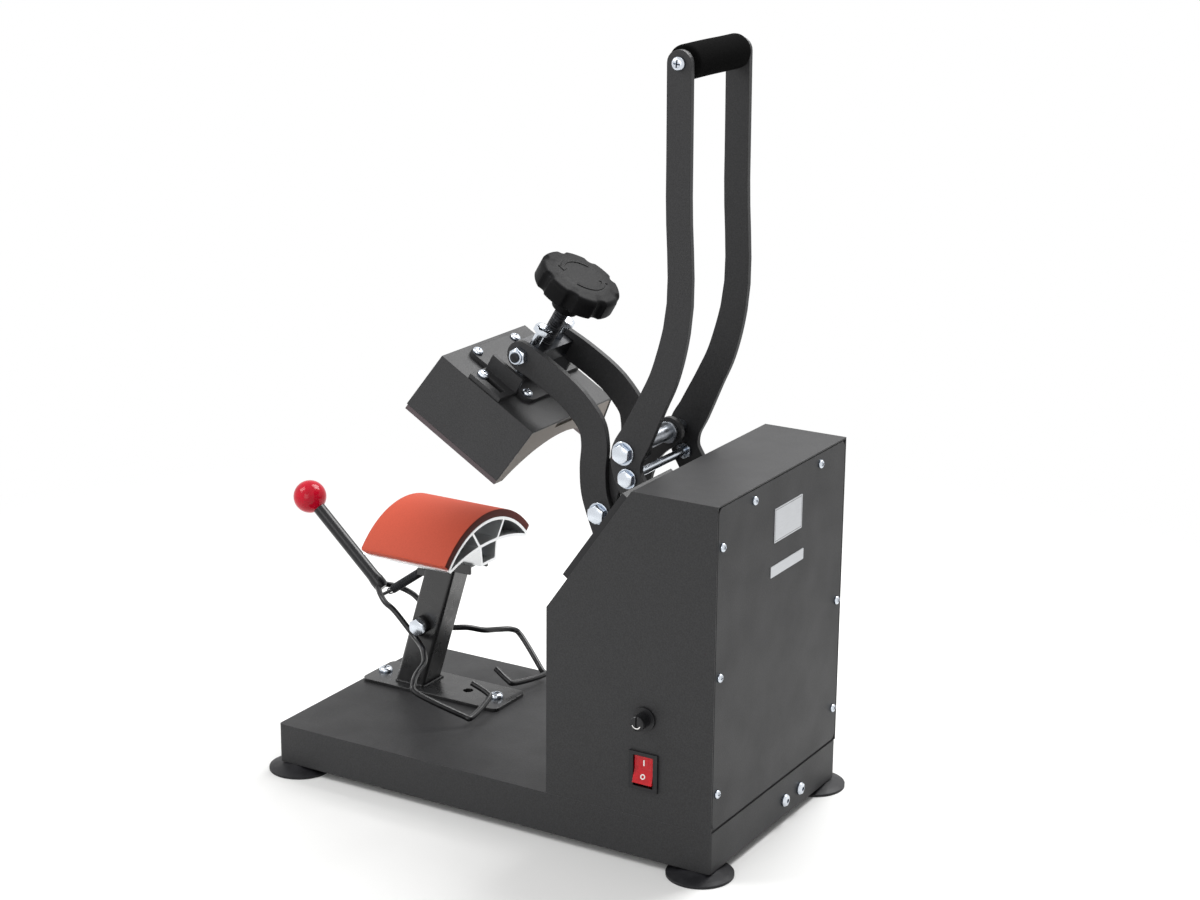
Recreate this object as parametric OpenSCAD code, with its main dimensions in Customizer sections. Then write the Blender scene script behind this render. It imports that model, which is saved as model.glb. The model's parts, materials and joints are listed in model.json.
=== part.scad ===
// Cap heat press: a curved lower platen on a post, and a heated head that a
// long handle swings down over it through a pair of links and arms.
// X runs to the switch side, Y to the rear, Z up. The handle stands open.

/* [Base] */
// Width of the base and of the box
base_w = 217; // [210:1:240]
// Length of the base
base_l = 410; // [400:1:440]
// Height of the base's skirt
skirt_h = 33.5; // [30:0.5:40]
// Thickness of the base's steel sheet
sheet = 1.5; // [1.2:0.1:2]
// Width of the flange turned in at the foot of the skirt
return_w = 24; // [22:1:30]
// Radius of the base's corners
base_corner = 3; // [2:0.5:4]

/* [Feet] */
// Diameter of a rubber foot
foot_d = 53; // [46:1:56]
// Height of a foot
foot_h = 6.5; // [6:0.5:9]
// Foot centre from the side of the base
foot_side = 10.5; // [10:0.5:13]
// Foot centre from the end of the base
foot_end = 14; // [12:0.5:18]
// Diameter of the studs in the feet
stud_d = 6; // [5:0.5:8]

/* [Box] */
// Depth of the box, front wall to back panel
box_depth = 146.5; // [142:0.5:152]
// Height of the box above the base
box_h = 260; // [254:1:270]
// Height of the front wall above the base
box_front_h = 155; // [148:1:162]
// Depth of the flat top
box_top_depth = 72.5; // [66:0.5:78]
// Thickness of the box's sheet
box_sheet = 1.2; // [1:0.1:1.6]
// Lower end of the two slots, above the base
slot_low = 92; // [84:1:98]
// Upper end of the slots, measured up the slope
slot_up = 92; // [90:1:100]
// Width of the flange behind the back panel
flange_w = 14; // [12:0.5:16]
// Thickness of the back panel
back_t = 1.2; // [1:0.1:1.6]
// Head diameter of the back panel's screws
back_screw_d = 7; // [6:0.5:8]

/* [Control panel] */
// Width of the raised control panel
panel_w = 74; // [70:1:76]
// Length of the control panel, up the slope
panel_l = 90; // [84:1:94]
// Height of the control panel above the slope
panel_h = 6; // [5:0.5:8]
// Wall of the control panel
panel_wall = 2; // [1.6:0.1:2.4]
// Start of the control panel, up the slope
panel_up = 29.5; // [26:0.5:33]
// Gap from the control panel to the side of the box
panel_side = 4; // [3:0.5:6]
// Width of the display window
display_w = 48; // [40:1:54]
// Height of the display window
display_l = 20; // [16:1:24]
// Diameter of a button
button_d = 9; // [8:0.5:10]
// Distance between buttons
button_step = 19; // [16:0.5:21]
// How far a button goes in
button_travel = 1.2; // [0.8:0.1:1.5]

/* [Switch and fuse] */
// Width of the switch bezel
switch_w = 25; // [23:0.5:27]
// Height of the switch bezel
switch_h = 31; // [30:0.5:33]
// Tilt of the rocker, each way
rocker_tilt = 9; // [6:0.5:10]
// Switch and fuse, forward of the base's rear edge
switch_y_in = 58.5; // [50:0.5:60]
// Centre of the switch above the base's lower edge
switch_z = 72.5; // [64:0.5:76]
// Centre of the fuse above the base's lower edge
fuse_z = 115.5; // [110:0.5:125]
// Diameter of the fuse holder's flange
fuse_flange_d = 19; // [17:0.5:21]
// Diameter of the fuse cap
fuse_cap_d = 12; // [11:0.5:13]
// How far the fuse cap stands out
fuse_cap_out = 11; // [9:0.5:13]
// Diameter of the cord gland's body
gland_d = 18; // [16:0.5:20]
// Diameter of the hole through the gland
gland_bore = 8; // [6:0.5:9]

/* [Linkage] */
// Middle plane of the mechanism, sideways from the base's middle
mech_x = -30; // [-34:1:-26]
// Arm pivot, forward of the base's rear edge
arm_pivot_in = 103; // [100:1:105]
// Arm pivot above the base
arm_pivot_up = 88; // [85:1:91]
// Handle pivot, forward of the arm pivot
handle_pivot_fwd = 10; // [8:0.5:12]
// Handle pivot above the arm pivot
handle_pivot_up = 125; // [123:0.5:127]
// Link shaft, forward of the handle pivot
shaft_fwd = 18.8; // [18.2:0.1:19.4]
// Link shaft above the handle pivot
shaft_up = 44.5; // [44:0.1:45]
// Lower end of the links, forward of the arm pivot
joint_fwd = 59.2; // [58.4:0.1:60]
// Lower end of the links, above the arm pivot
joint_up = 110.8; // [110:0.1:111.6]
// Head pivot, forward of the arm pivot
head_fwd = 134.2; // [132:0.1:136]
// Head pivot above the arm pivot
head_up = 230.4; // [228:0.1:232]
// Turn of the handle from open to closed
handle_travel = 95; // [93:0.5:96]
// Thickness of the flat steel of arms, links and handle
flat_t = 5; // [4:0.1:5.2]
// Inner face of the links from the mechanism's middle plane
link_in = 23.5; // [23:0.1:24]
// Gap between links and arms
link_gap = 0.5; // [0.3:0.1:0.6]
// Gap between the arms and the upright bracket
arm_gap = 2; // [1.8:0.1:2.2]
// Gap between the upright bracket and the handle bars
bar_gap = 3; // [2.6:0.1:3.2]
// Width of the arms
arm_w = 24; // [22:0.5:25]
// Width of the links
link_w = 19; // [17:0.5:19.5]
// Diameter of the link shaft and of the arm pivot shaft
shaft_d = 12; // [10:0.5:12.5]
// Diameter of the stop rod
stop_d = 7; // [6:0.5:8]
// Thread diameter of the pivot bolts
pivot_d = 10; // [8:0.5:10]
// Thread diameter of the head's bolts and of the shaft's end bolts
bolt_d = 8; // [6:0.5:8]
// Running clearance round a shaft
run_gap = 0.05; // [0.03:0.01:0.08]
// Thickness of the upright bracket's floor
web_t = 3; // [2.5:0.5:4]
// Depth of the upright bracket at its foot
upright_l = 70; // [64:1:76]
// Centre of the return springs from the middle plane
return_x = 13.5; // [12:0.5:15]
// Diameter of the return springs
return_d = 14; // [12:0.5:15]

/* [Handle] */
// Grip axis behind the handle pivot
grip_back = 25.2; // [22:0.2:28]
// Grip axis above the handle pivot
grip_up = 351.5; // [340:0.5:360]
// Diameter of the foam grip
grip_d = 27; // [25:0.5:30]
// Diameter of the tube inside the grip
grip_core_d = 18; // [16:0.5:20]
// Width of the handle bars at the top
bar_w = 20.5; // [19:0.5:22]
// Width of the handle bars above the link shaft
bar_low_w = 27; // [26:0.5:28.5]

/* [Head] */
// Length of the hood, front to rear
hood_l = 100; // [96:1:104]
// Distance from the hood's front edge to the head pivot
hood_front = 47.5; // [46:0.5:49]
// Width of the hood's flat top
hood_top_w = 124; // [122:1:128]
// Width of the hood at its lower edge
hood_low_w = 158; // [156:1:162]
// Height of the hood
hood_h = 45.5; // [44:0.5:46.5]
// Thickness of the hood's sheet
hood_sheet = 1.5; // [1.2:0.1:1.8]
// Hood top below the head pivot
hood_drop = 30; // [29.5:0.1:31]
// Gap left between the closed heater plate and the pad
press_gap = 0.8; // [0.5:0.1:1.2]
// How far the heater plate stands below the hood
heater_out = 4.5; // [3:0.5:5]
// Thickness of the heater plate at its middle
heater_t = 11.3; // [10.5:0.1:12.5]
// Thickness of the plate on the hood
carrier_t = 4; // [3.5:0.1:4.2]
// Width of the plate on the hood
carrier_w = 68; // [66:1:69]
// Length of the side tabs, front to rear
tab_l = 33; // [30:1:36]
// Height of the side tabs' upright legs above the hood
tab_up = 17; // [14:0.5:17.5]
// Half width of the crosshead block
block_half = 28.7; // [28.2:0.1:28.8]
// Length of the crosshead block, front to rear
block_l = 20; // [20:1:24]
// Crosshead block above the head pivot
block_up = 7; // [7:0.5:9]
// Crosshead block below the head pivot
block_down = 8; // [7:0.5:8.5]
// Guide bolts from the middle plane
guide_x = 17.5; // [16.5:0.1:17.6]
// Underside of the guide bolts' heads above the head pivot
guide_up = 20; // [17:0.5:22]
// Diameter of the pressure spindle
spindle_d = 12; // [10:0.5:12.5]
// Diameter of the knob
knob_d = 70; // [64:1:74]
// Top of the knob above the head pivot
knob_top = 75; // [72:1:80]
// Height of the knob's rim
knob_rim = 19; // [17:0.5:21]
// Number of grooves round the knob
knob_grooves = 8; // [6:1:10]
// Lower end of the knob's hub above the head pivot
hub_low = 40; // [38:0.5:44]

/* [Lower platen] */
// Length of the pad and of the lower platen
pad_l = 86; // [80:1:92]
// Outer radius of the silicone pad
pad_r = 86; // [84:0.2:90]
// Thickness of the pad
pad_t = 6.5; // [5:0.5:7]
// Half angle that the pad covers
pad_half = 48.8; // [46:0.2:50]
// Wall of the aluminium extrusion
ext_wall = 2.5; // [1.6:0.1:3]
// Depth from the top of the extrusion to its inner web
web_drop = 18.9; // [18:0.1:20]
// Half width of the extrusion's box at its top
ext_box_half = 13.8; // [13:0.1:15]
// Height of the extrusion's box
ext_box_h = 19.5; // [17:0.5:21]

/* [Post] */
// Side of the square post
post_w = 28; // [26:0.5:29]
// Wall of the post
post_wall = 2; // [1.5:0.1:3]
// Lean of the post to the rear
post_lean = 16.7; // [15:0.1:18]
// Thickness of the post's foot plate
foot_plate_t = 3; // [3:0.1:4]
// Width of the foot plate
foot_plate_w = 48; // [44:1:52]
// Length of the foot plate
foot_plate_l = 140; // [136:1:146]
// Middle of the foot plate, forward of the pad's middle
foot_plate_fwd = 5; // [2:0.5:8]
// Height of the bracket under the extrusion
clamp_h = 8.5; // [7:0.5:10]
// Length of that bracket
clamp_l = 66; // [60:1:72]

/* [Hold-down lever] */
// Lever pivot, forward of the pad's middle
lever_fwd = 15.7; // [14:0.5:17]
// Lever pivot above the base
lever_up = 61; // [58:0.5:64]
// Ball centre, forward of the lever pivot
ball_fwd = 129; // [124:1:136]
// Ball centre above the lever pivot
ball_up = 89.5; // [86:0.5:93]
// Diameter of the ball
ball_d = 29; // [25:0.5:30]
// Diameter of the lever's rod
rod_d = 11; // [9:0.5:12]
// Diameter of the fork's wires
wire_d = 5; // [4.5:0.1:5.5]
// Outer diameter of the lever spring
coil_d = 6.6; // [6.4:0.1:7]
// Wire diameter of the lever spring
coil_wire = 0.9; // [0.8:0.05:0.9]
// Turns of the lever spring
coil_turns = 19; // [16:1:19]

/* [Hidden] */
$fn = 48;

// Small amount by which a cut passes a face
cut = 1;
// Clearance of a loose fit, such as a screw in its hole
fit = 0.05;
// Clearance of a cover, window or body in its opening
cover_gap = 0.3;
// Open seam round the back panel
seam = 0.8;

base_top = skirt_h;
box_front = base_l - box_depth;
fold_z = base_top + box_front_h;
box_top = base_top + box_h;
slope_a = atan2(box_h - box_front_h, box_depth - box_top_depth);

// Faces of the layers, measured from the mechanism's middle plane
link_out = link_in + flat_t;
arm_in = link_out + link_gap;
arm_out = arm_in + flat_t;
upright_in = arm_out + arm_gap;
upright_out = upright_in + flat_t;
bar_in = upright_out + bar_gap;
bar_out = bar_in + flat_t;

// Pivots of the open press, as [y, z]
arm_pivot = [base_l - arm_pivot_in, base_top + arm_pivot_up];
handle_pivot = arm_pivot + [-handle_pivot_fwd, handle_pivot_up];
link_top = handle_pivot + [-shaft_fwd, shaft_up];
joint = arm_pivot + [-joint_fwd, joint_up];
head_pivot = arm_pivot + [-head_fwd, head_up];
grip_axis = handle_pivot + [grip_back, grip_up];
stop_axis = handle_pivot + [-14.7, 24.5];
spring_tail = arm_pivot + [40, 10];

// Closed press: the links' ends meet where two circles cross
function turned(p, a) = [p[0] * cos(a) - p[1] * sin(a), p[0] * sin(a) + p[1] * cos(a)];
function bearing(v) = atan2(v[1], v[0]);
link_top_shut = handle_pivot + turned(link_top - handle_pivot, handle_travel);
link_len = norm(link_top - joint);
arm_len = norm(joint - arm_pivot);
shut_gap = norm(link_top_shut - arm_pivot);
shut_angle = acos((arm_len * arm_len + shut_gap * shut_gap - link_len * link_len)
    / (2 * arm_len * shut_gap));
arm_travel = bearing(link_top_shut - arm_pivot) + shut_angle - bearing(joint - arm_pivot);
head_shut = arm_pivot + turned(head_pivot - arm_pivot, arm_travel);
echo(arm_travel = arm_travel, head_shut = head_shut, link_top_shut = link_top_shut);

// The head's frame has its origin on the head pivot and is level when closed
hood_top = -hood_drop;
hood_low = hood_top - hood_h;
hood_rear = hood_l - hood_front;
hood_flare = (hood_low_w - hood_top_w) / 2 / hood_h;
hood_inner = hood_top - hood_sheet;
hood_side_t = hood_sheet * sqrt(1 + hood_flare * hood_flare);
function hood_half(n) = hood_top_w / 2 + (hood_top - n) * hood_flare;
carrier_top = hood_top + carrier_t;
heater_low = hood_low - heater_out;
recess_half = 22;
recess_h = 6.2;
heater_apex = hood_inner - recess_h - heater_t;
element_t = 1.6;
press_r = pad_r + press_gap;
press_centre = heater_apex - press_r;
carrier_front = -42;
carrier_rear = 27;
carrier_screws = [for (x = [-28, 28], u = [-36, 19]) [x, u]];
tab_in = carrier_w / 2 + 0.8;
tab_out = hood_top_w / 2 - 1;
tab_rear = 14;
tab_screw = [(tab_in + tab_out) / 2 + 2.5, tab_rear - tab_l + 6];
head_screw_d = 5;
head_screw_l = carrier_t + hood_sheet + 8;
collar_h = 8;

// Lower platen: the pad's arc is the press arc of the closed head
pad_mid = head_shut[0] + (hood_rear - hood_front) / 2;
pad_centre = head_shut[1] + press_centre;
ext_r = pad_r - pad_t - fit;
ext_web = pad_centre + ext_r - web_drop;
ext_web_r = 182;
ext_half = pad_half + 1;
strut_half = 1.4;
strut_lean = 10.5;
strut_h = web_drop - 4;
box_inset = 2.5;
ext_low = ext_web - ext_box_h;
clamp_low = ext_low - clamp_h;
plate_top = base_top + foot_plate_t;
plate_mid = pad_mid - foot_plate_fwd;
post_foot = pad_mid + 2.1 - (clamp_low - plate_top) * tan(post_lean);
plate_screws = [plate_mid - foot_plate_l / 2 + 9, plate_mid + foot_plate_l / 2 - 15];
lever_pivot = [pad_mid - lever_fwd, base_top + lever_up];
lever_ball_at = lever_pivot + [-ball_fwd, ball_up];

// Whole object, front to rear, with the origin under its middle
reach_front = lever_ball_at[0] - ball_d / 2;
reach_rear = base_l - foot_end + foot_d / 2;
middle_y = (reach_front + reach_rear) / 2;
echo(shift_y = -middle_y, shift_z = foot_h, mech_x = mech_x);
echo(arm_pivot = arm_pivot, handle_pivot = handle_pivot, link_top = link_top, joint = joint);
echo(head_pivot = head_pivot, lever_pivot = lever_pivot, pad_mid = pad_mid, pad_centre = pad_centre);

steel_dark = "#3a3b3d";
zinc = "#c9ced6";
plastic_dark = "#1d1d1f";

module stand() translate([0, -middle_y, foot_h]) children();
module mech() stand() translate([mech_x, 0, 0]) children();
module head() mech() translate([0, head_pivot[0], head_pivot[1]]) rotate([-arm_travel, 0, 0])
    children();
module on_slope() stand() translate([0, box_front, fold_z]) rotate([slope_a, 0, 0]) children();
module left() mirror([1, 0, 0]) children();
module both_sides() {
    children();
    left() children();
}

// An outline in Y and Z made a plate between two places on X
module plate_x(x0, x1) translate([x0, 0, 0]) rotate([90, 0, 90]) linear_extrude(x1 - x0) children();
// An outline in X and Z made a bar between two places on Y
module bar_y(y0, y1) translate([0, y1, 0]) rotate([90, 0, 0]) linear_extrude(y1 - y0) children();
module rod_x(x0, x1, p, d) translate([x0, p[0], p[1]]) rotate([0, 90, 0]) cylinder(d = d, h = x1 - x0);
module rod_y(y0, y1, x, z, d) translate([x, y1, z]) rotate([90, 0, 0]) cylinder(d = d, h = y1 - y0);
module hex_x(x0, x1, p, flats) translate([x0, p[0], p[1]]) rotate([0, 90, 0])
    cylinder(d = flats / cos(30), h = x1 - x0, $fn = 6);
module hex_z(h, flats) cylinder(d = flats / cos(30), h = h, $fn = 6);
module round_rect(x0, y0, x1, y1, r) {
    translate([x0 + r, y0]) square([x1 - x0 - 2 * r, y1 - y0]);
    translate([x0, y0 + r]) square([x1 - x0, y1 - y0 - 2 * r]);
    for (x = [x0 + r, x1 - r], y = [y0 + r, y1 - r]) translate([x, y]) circle(r);
}

// Pan head screw with a cross recess, its seat at the origin and its head upward
module pan_screw(head_d, d, length) {
    r = head_d / 2;
    h = 0.36 * head_d;
    difference() {
        union() {
            rotate_extrude() polygon([[0, 0], [r, 0], [r, 0.3 * h], [0.86 * r, 0.7 * h],
                [0.5 * r, 0.95 * h], [0, h]]);
            translate([0, 0, -length]) cylinder(d = d, h = length + h / 4);
        }
        for (a = [0, 90]) rotate(a) translate([-0.5 * r, -0.09 * r, 0.6 * h]) cube([r, 0.18 * r, h]);
    }
}

// Hex bolt along X with a washer, seated on the face at |x| = seat
module side_bolt(p, seat, tip, d, flats, washer_d) {
    washer_t = 1.2;
    rod_x(tip, seat + washer_t, p, d);
    rod_x(seat, seat + washer_t, p, washer_d);
    hex_x(seat + washer_t, seat + washer_t + 0.58 * d, p, flats);
}

// A smooth curve through points, whose last number may be a width
function tangent(p, i) = let (n = len(p) - 1)
    i == 0 ? (p[1] - p[0]) / norm(p[1] - p[0])
    : i == n ? (p[n] - p[n - 1]) / norm(p[n] - p[n - 1])
    : let (a = norm(p[i] - p[i - 1]), b = norm(p[i + 1] - p[i]))
        ((p[i] - p[i - 1]) * b / a + (p[i + 1] - p[i]) * a / b) / (a + b);
function blend(p0, p1, m0, m1, t) = let (h = norm(p1 - p0))
    (2 * t * t * t - 3 * t * t + 1) * p0 + (t * t * t - 2 * t * t + t) * h * m0
    + (3 * t * t - 2 * t * t * t) * p1 + (t * t * t - t * t) * h * m1;
function curve(p, steps) = [
    for (i = [0 : len(p) - 2], k = [0 : steps - 1])
        blend(p[i], p[i + 1], tangent(p, i), tangent(p, i + 1), k / steps),
    p[len(p) - 1]
];
// Outline of a strip with round ends along points [y, z, width]
function arc(p, r, from, to) = [for (k = [0 : 12]) let (a = from + (to - from) * k / 12)
    p + r * [cos(a), sin(a)]];
function strip(points) = let (
    q = curve(points, 5), n = len(q) - 1,
    mid = [for (s = q) [s[0], s[1]]],
    way = [for (i = [0 : n]) bearing(mid[min(n, i + 1)] - mid[max(0, i - 1)])],
    side = [for (i = [0 : n]) q[i][2] / 2 * [-sin(way[i]), cos(way[i])]])
    concat([for (i = [1 : n - 1]) mid[i] + side[i]], arc(mid[n], q[n][2] / 2, way[n] + 90, way[n] - 90),
        [for (i = [n - 1 : -1 : 1]) mid[i] - side[i]], arc(mid[0], q[0][2] / 2, way[0] - 90, way[0] - 270));
module hole(p, d) translate(p) circle(d = d);

// A round tube along a path, as rings carried from point to point
function unit(v) = v / norm(v);
function heading(p, i) = unit(p[min(len(p) - 1, i + 1)] - p[max(0, i - 1)]);
function carried(e, t) = unit(e - t * (e * t));
function ring_axes(p, first) = [
    for (i = 0, e = carried(first, heading(p, 0)); i < len(p);
        i = i + 1, e = i < len(p) ? carried(e, heading(p, i)) : e) e
];
module tube(path, d, sides, first) {
    axes = ring_axes(path, first);
    n = len(path);
    points = [for (i = [0 : n - 1], k = [0 : sides - 1])
        let (a = 360 * k / sides, e = axes[i], f = cross(heading(path, i), e))
            path[i] + d / 2 * (cos(a) * e + sin(a) * f)];
    walls = [for (i = [0 : n - 2], k = [0 : sides - 1])
        let (a = i * sides + k, b = i * sides + (k + 1) % sides)
            each [[a, a + sides, b + sides], [a, b + sides, b]]];
    start = [for (k = [1 : sides - 2]) [0, k, k + 1]];
    finish = [for (k = [1 : sides - 2]) (n - 1) * sides * [1, 1, 1] + [0, k + 1, k]];
    polyhedron(points, concat(walls, start, finish), convexity = 8);
}

foot_places = [for (x = [-1, 1], y = [foot_end, base_l - foot_end])
    [x * (base_w / 2 - foot_side), y]];
spring_hole = [return_d + 6, 30];
spring_bolt_z = 14;
gland_at = [base_l - 34, base_top + 30];

module base_tray() color(steel_dark) stand() difference() {
    linear_extrude(skirt_h) round_rect(-base_w / 2, 0, base_w / 2, base_l, base_corner);
    translate([-base_w / 2 + sheet, sheet, sheet])
        cube([base_w - 2 * sheet, base_l - 2 * sheet, skirt_h - 2 * sheet]);
    translate([-base_w / 2 + return_w, return_w, -cut])
        cube([base_w - 2 * return_w, base_l - 2 * return_w, sheet + 2 * cut]);
    for (p = foot_places) translate([p[0], p[1], -cut]) cylinder(d = stud_d + 2 * fit, h = sheet + 2 * cut);
    for (y = plate_screws) translate([mech_x, y, base_top - 2 * sheet])
        cylinder(d = plate_screw_d + 2 * fit, h = 3 * sheet);
    for (s = [-1, 1]) {
        translate([mech_x + s * return_x - spring_hole[0] / 2, base_l - 38, base_top - 2 * sheet])
            cube([spring_hole[0], spring_hole[1], 3 * sheet]);
        rod_y(base_l - 2 * sheet, base_l + cut, mech_x + s * return_x, spring_bolt_z, 6 + 2 * fit);
    }
}

// Rubber foot, with a hollow underneath and a stud up through the tray's flange
module foot() {
    r = foot_d / 2;
    rise = foot_h - 5;
    translate([0, 0, -foot_h]) difference() {
        rotate_extrude() polygon([[0, rise], [r - 5, rise], [r - 3, 0], [r, 0], [r, 2],
            [r - 4, 3.2], [r / 2 + 2, foot_h - 1.6], [10, foot_h], [0, foot_h]]);
        translate([0, 0, foot_h - 3]) cylinder(d = stud_d + 2 * fit, h = 4);
    }
}
module rubber_feet() color(plastic_dark) stand() for (p = foot_places) translate([p[0], p[1], 0]) foot();
module foot_studs() color(zinc) stand() for (p = foot_places) translate([p[0], p[1], 0]) {
    translate([0, 0, -2.9]) cylinder(d = stud_d, h = 11 + sheet);
    translate([0, 0, sheet]) hex_z(5, 1.6 * stud_d);
}

box_outline = [[box_front, base_top], [box_front, fold_z], [base_l - box_top_depth, box_top],
    [base_l, box_top], [base_l, base_top]];
inner_fold = fold_z + box_sheet * tan(slope_a) - box_sheet / cos(slope_a);
inner_top_y = box_front + (box_top - box_sheet - fold_z + box_sheet / cos(slope_a)) / tan(slope_a);
box_inside = [[box_front + box_sheet, base_top - cut], [box_front + box_sheet, inner_fold],
    [inner_top_y, box_top - box_sheet], [base_l + cut, box_top - box_sheet],
    [base_l + cut, base_top - cut]];
slot_in = arm_in - 1;
pivot_head = bar_out + cover_gap + 0.58 * pivot_d;
slot_out = pivot_head + 1.6;
panel_x0 = base_w / 2 - panel_side - panel_w;
panel_mid = panel_x0 + panel_w / 2;
back_half = base_w / 2 - box_sheet - seam;
back_low = base_top + 2.5;
back_high = box_top - box_sheet - seam;
side_screw_x = base_w / 2 - flange_w / 2 - 1.5;
back_screw_places = concat(
    [for (x = [-side_screw_x, side_screw_x], share = [0.117, 0.479]) [x, base_top + share * box_h]],
    [[side_screw_x, base_top + 0.873 * box_h]],
    [for (share = [-0.286, 0.23]) [share * base_w, box_top - flange_w / 2 - 3.5]]);
back_shank = 3.5;
switch_y = base_l - switch_y_in;
switch_body = [switch_w - 4, switch_h - 4];
fuse_body_d = 12.6;

module box_shell() color(steel_dark) stand() difference() {
    union() {
        difference() {
            plate_x(-base_w / 2, base_w / 2) polygon(box_outline);
            plate_x(-base_w / 2 + box_sheet, base_w / 2 - box_sheet) polygon(box_inside);
        }
        difference() {
            bar_y(base_l - back_t - box_sheet, base_l - back_t)
                translate([-base_w / 2 + box_sheet / 2, base_top])
                    square([base_w - box_sheet, box_h - box_sheet / 2]);
            bar_y(base_l - back_t - box_sheet - cut, base_l) round_rect(-base_w / 2 + flange_w,
                base_top + flange_w - 4, base_w / 2 - flange_w, box_top - flange_w, 4);
        }
    }
    for (s = [-1, 1]) translate([mech_x, 0, 0]) {
        x0 = s < 0 ? -slot_out : slot_in;
        translate([x0, box_front - cut, base_top + slot_low])
            cube([slot_out - slot_in, box_sheet + 2 * cut, box_front_h - slot_low + 1]);
        translate([x0, box_front, fold_z]) rotate([slope_a, 0, 0]) translate([0, -2, -2 * box_sheet])
            cube([slot_out - slot_in, slot_up + 2, 3 * box_sheet]);
    }
    translate([0, box_front, fold_z]) rotate([slope_a, 0, 0])
        translate([panel_x0 + panel_wall, panel_up + panel_wall, -2 * box_sheet])
            cube([panel_w - 2 * panel_wall, panel_l - 2 * panel_wall, 3 * box_sheet]);
    translate([base_w / 2 - 2 * box_sheet, switch_y - switch_body[0] / 2 - fit,
        switch_z - switch_body[1] / 2 - fit])
        cube([3 * box_sheet, switch_body[0] + 2 * fit, switch_body[1] + 2 * fit]);
    rod_x(base_w / 2 - 2 * box_sheet, base_w / 2 + cut, [switch_y, fuse_z], fuse_body_d + 2 * fit);
    rod_x(-base_w / 2 - cut, -base_w / 2 + 2 * box_sheet, gland_at, gland_d - 6 + 2 * fit);
    for (p = back_screw_places)
        rod_y(base_l - back_t - 2 * box_sheet, base_l, p[0], p[1], back_shank + 2 * fit);
}

module back_panel() color(steel_dark) stand() difference() {
    bar_y(base_l - back_t, base_l) round_rect(-back_half, back_low, back_half, back_high, 6);
    for (p = back_screw_places) rod_y(base_l - 2 * back_t, base_l + cut, p[0], p[1], back_shank + 2 * fit);
}
module back_screws() color(zinc) stand() for (p = back_screw_places)
    translate([p[0], base_l, p[1]]) rotate([-90, 0, 0]) pan_screw(back_screw_d, back_shank, 8);

// Bare plates where a maker would put a label
module blank_plates() color("silver") stand() bar_y(base_l, base_l + 0.5) {
    round_rect(-31, box_top - 54, 16, box_top - 26.5, 1);
    round_rect(-35.5, box_top - 81, 20.5, box_top - 72, 0.8);
}

display_y = panel_up + panel_l * 0.68;
button_y = panel_up + panel_l * 0.25;
button_flange = 1;
board_t = 1.6;
board_z = -10;
tact_h = panel_h - panel_wall - button_flange - button_travel - 0.3 - board_z;
module control_panel() color(plastic_dark) on_slope() {
    difference() {
        translate([panel_x0, panel_up, 0]) cube([panel_w, panel_l, panel_h]);
        translate([panel_x0 + panel_wall, panel_up + panel_wall, -cut])
            cube([panel_w - 2 * panel_wall, panel_l - 2 * panel_wall, panel_h - panel_wall + cut]);
        translate([panel_mid - display_w / 2 - fit, display_y - display_l / 2 - fit, 0])
            cube([display_w + 2 * fit, display_l + 2 * fit, panel_h + cut]);
        for (k = [-1 : 1]) translate([panel_mid + k * button_step, button_y, 0])
            cylinder(d = button_d + 4 * fit, h = panel_h + cut);
    }
    for (x = [-1, 1], y = [0.1, 0.9])
        translate([panel_mid + x * (panel_w / 2 - 6), panel_up + y * panel_l, board_z])
            cylinder(d = 5, h = panel_h - panel_wall - board_z + 0.2);
}
module display_window() color("#5a1216") on_slope()
    translate([panel_mid - display_w / 2, display_y - display_l / 2, panel_h - panel_wall])
        cube([display_w, display_l, panel_wall - 0.2]);
module display_board() color("#1f5c38") on_slope() {
    translate([panel_x0 + 3, panel_up + 3, board_z - board_t]) cube([panel_w - 6, panel_l - 6, board_t]);
    translate([panel_mid - display_w / 2 + 1, display_y - display_l / 2 + 1, board_z - 0.1])
        cube([display_w - 2, display_l - 2, panel_h - panel_wall - board_z + 0.1]);
    for (k = [-1 : 1]) translate([panel_mid + k * button_step, button_y, board_z - 0.1])
        cylinder(d = 5, h = tact_h);
}
module button(k) color("#d8d8d6") on_slope() translate([panel_mid + k * button_step, button_y, 0]) {
    translate([0, 0, panel_h - panel_wall - button_flange - fit]) {
        cylinder(d = button_d + 2, h = button_flange);
        cylinder(d = button_d, h = button_flange + panel_wall + 1.6);
    }
}

rocker_in = 7;
module switch_bezel() color(plastic_dark) stand() difference() {
    union() {
        translate([base_w / 2, switch_y - switch_w / 2, switch_z - switch_h / 2])
            cube([2, switch_w, switch_h]);
        translate([base_w / 2 - 20, switch_y - switch_body[0] / 2, switch_z - switch_body[1] / 2])
            cube([20.1, switch_body[0], switch_body[1]]);
    }
    translate([base_w / 2 - 17, switch_y - switch_body[0] / 2 + 1.8, switch_z - switch_body[1] / 2 + 0.8])
        cube([20, switch_body[0] - 3.6, switch_body[1] - 1.6]);
    rod_y(switch_y - switch_body[0] / 2 - cut, switch_y + switch_body[0] / 2 + cut,
        base_w / 2 - rocker_in, switch_z, 2.4 + 2 * run_gap);
}
module switch_rocker() color("#c8171e") stand() translate([base_w / 2 - rocker_in, 0, switch_z])
    rotate([0, -rocker_tilt, 0]) {
        half = switch_body[1] / 2 - 2.1;
        bar_y(switch_y - switch_body[0] / 2 + 2.1, switch_y + switch_body[0] / 2 - 2.1)
            polygon([[-5, -half * 0.5], [0, -half], [9, -half * 0.98], [7.2, 0], [9, half * 0.98],
                [0, half], [-5, half * 0.5]]);
        rod_y(switch_y - switch_body[0] / 2 + 0.4, switch_y + switch_body[0] / 2 - 0.4, 0, 0, 2.4);
    }

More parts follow.
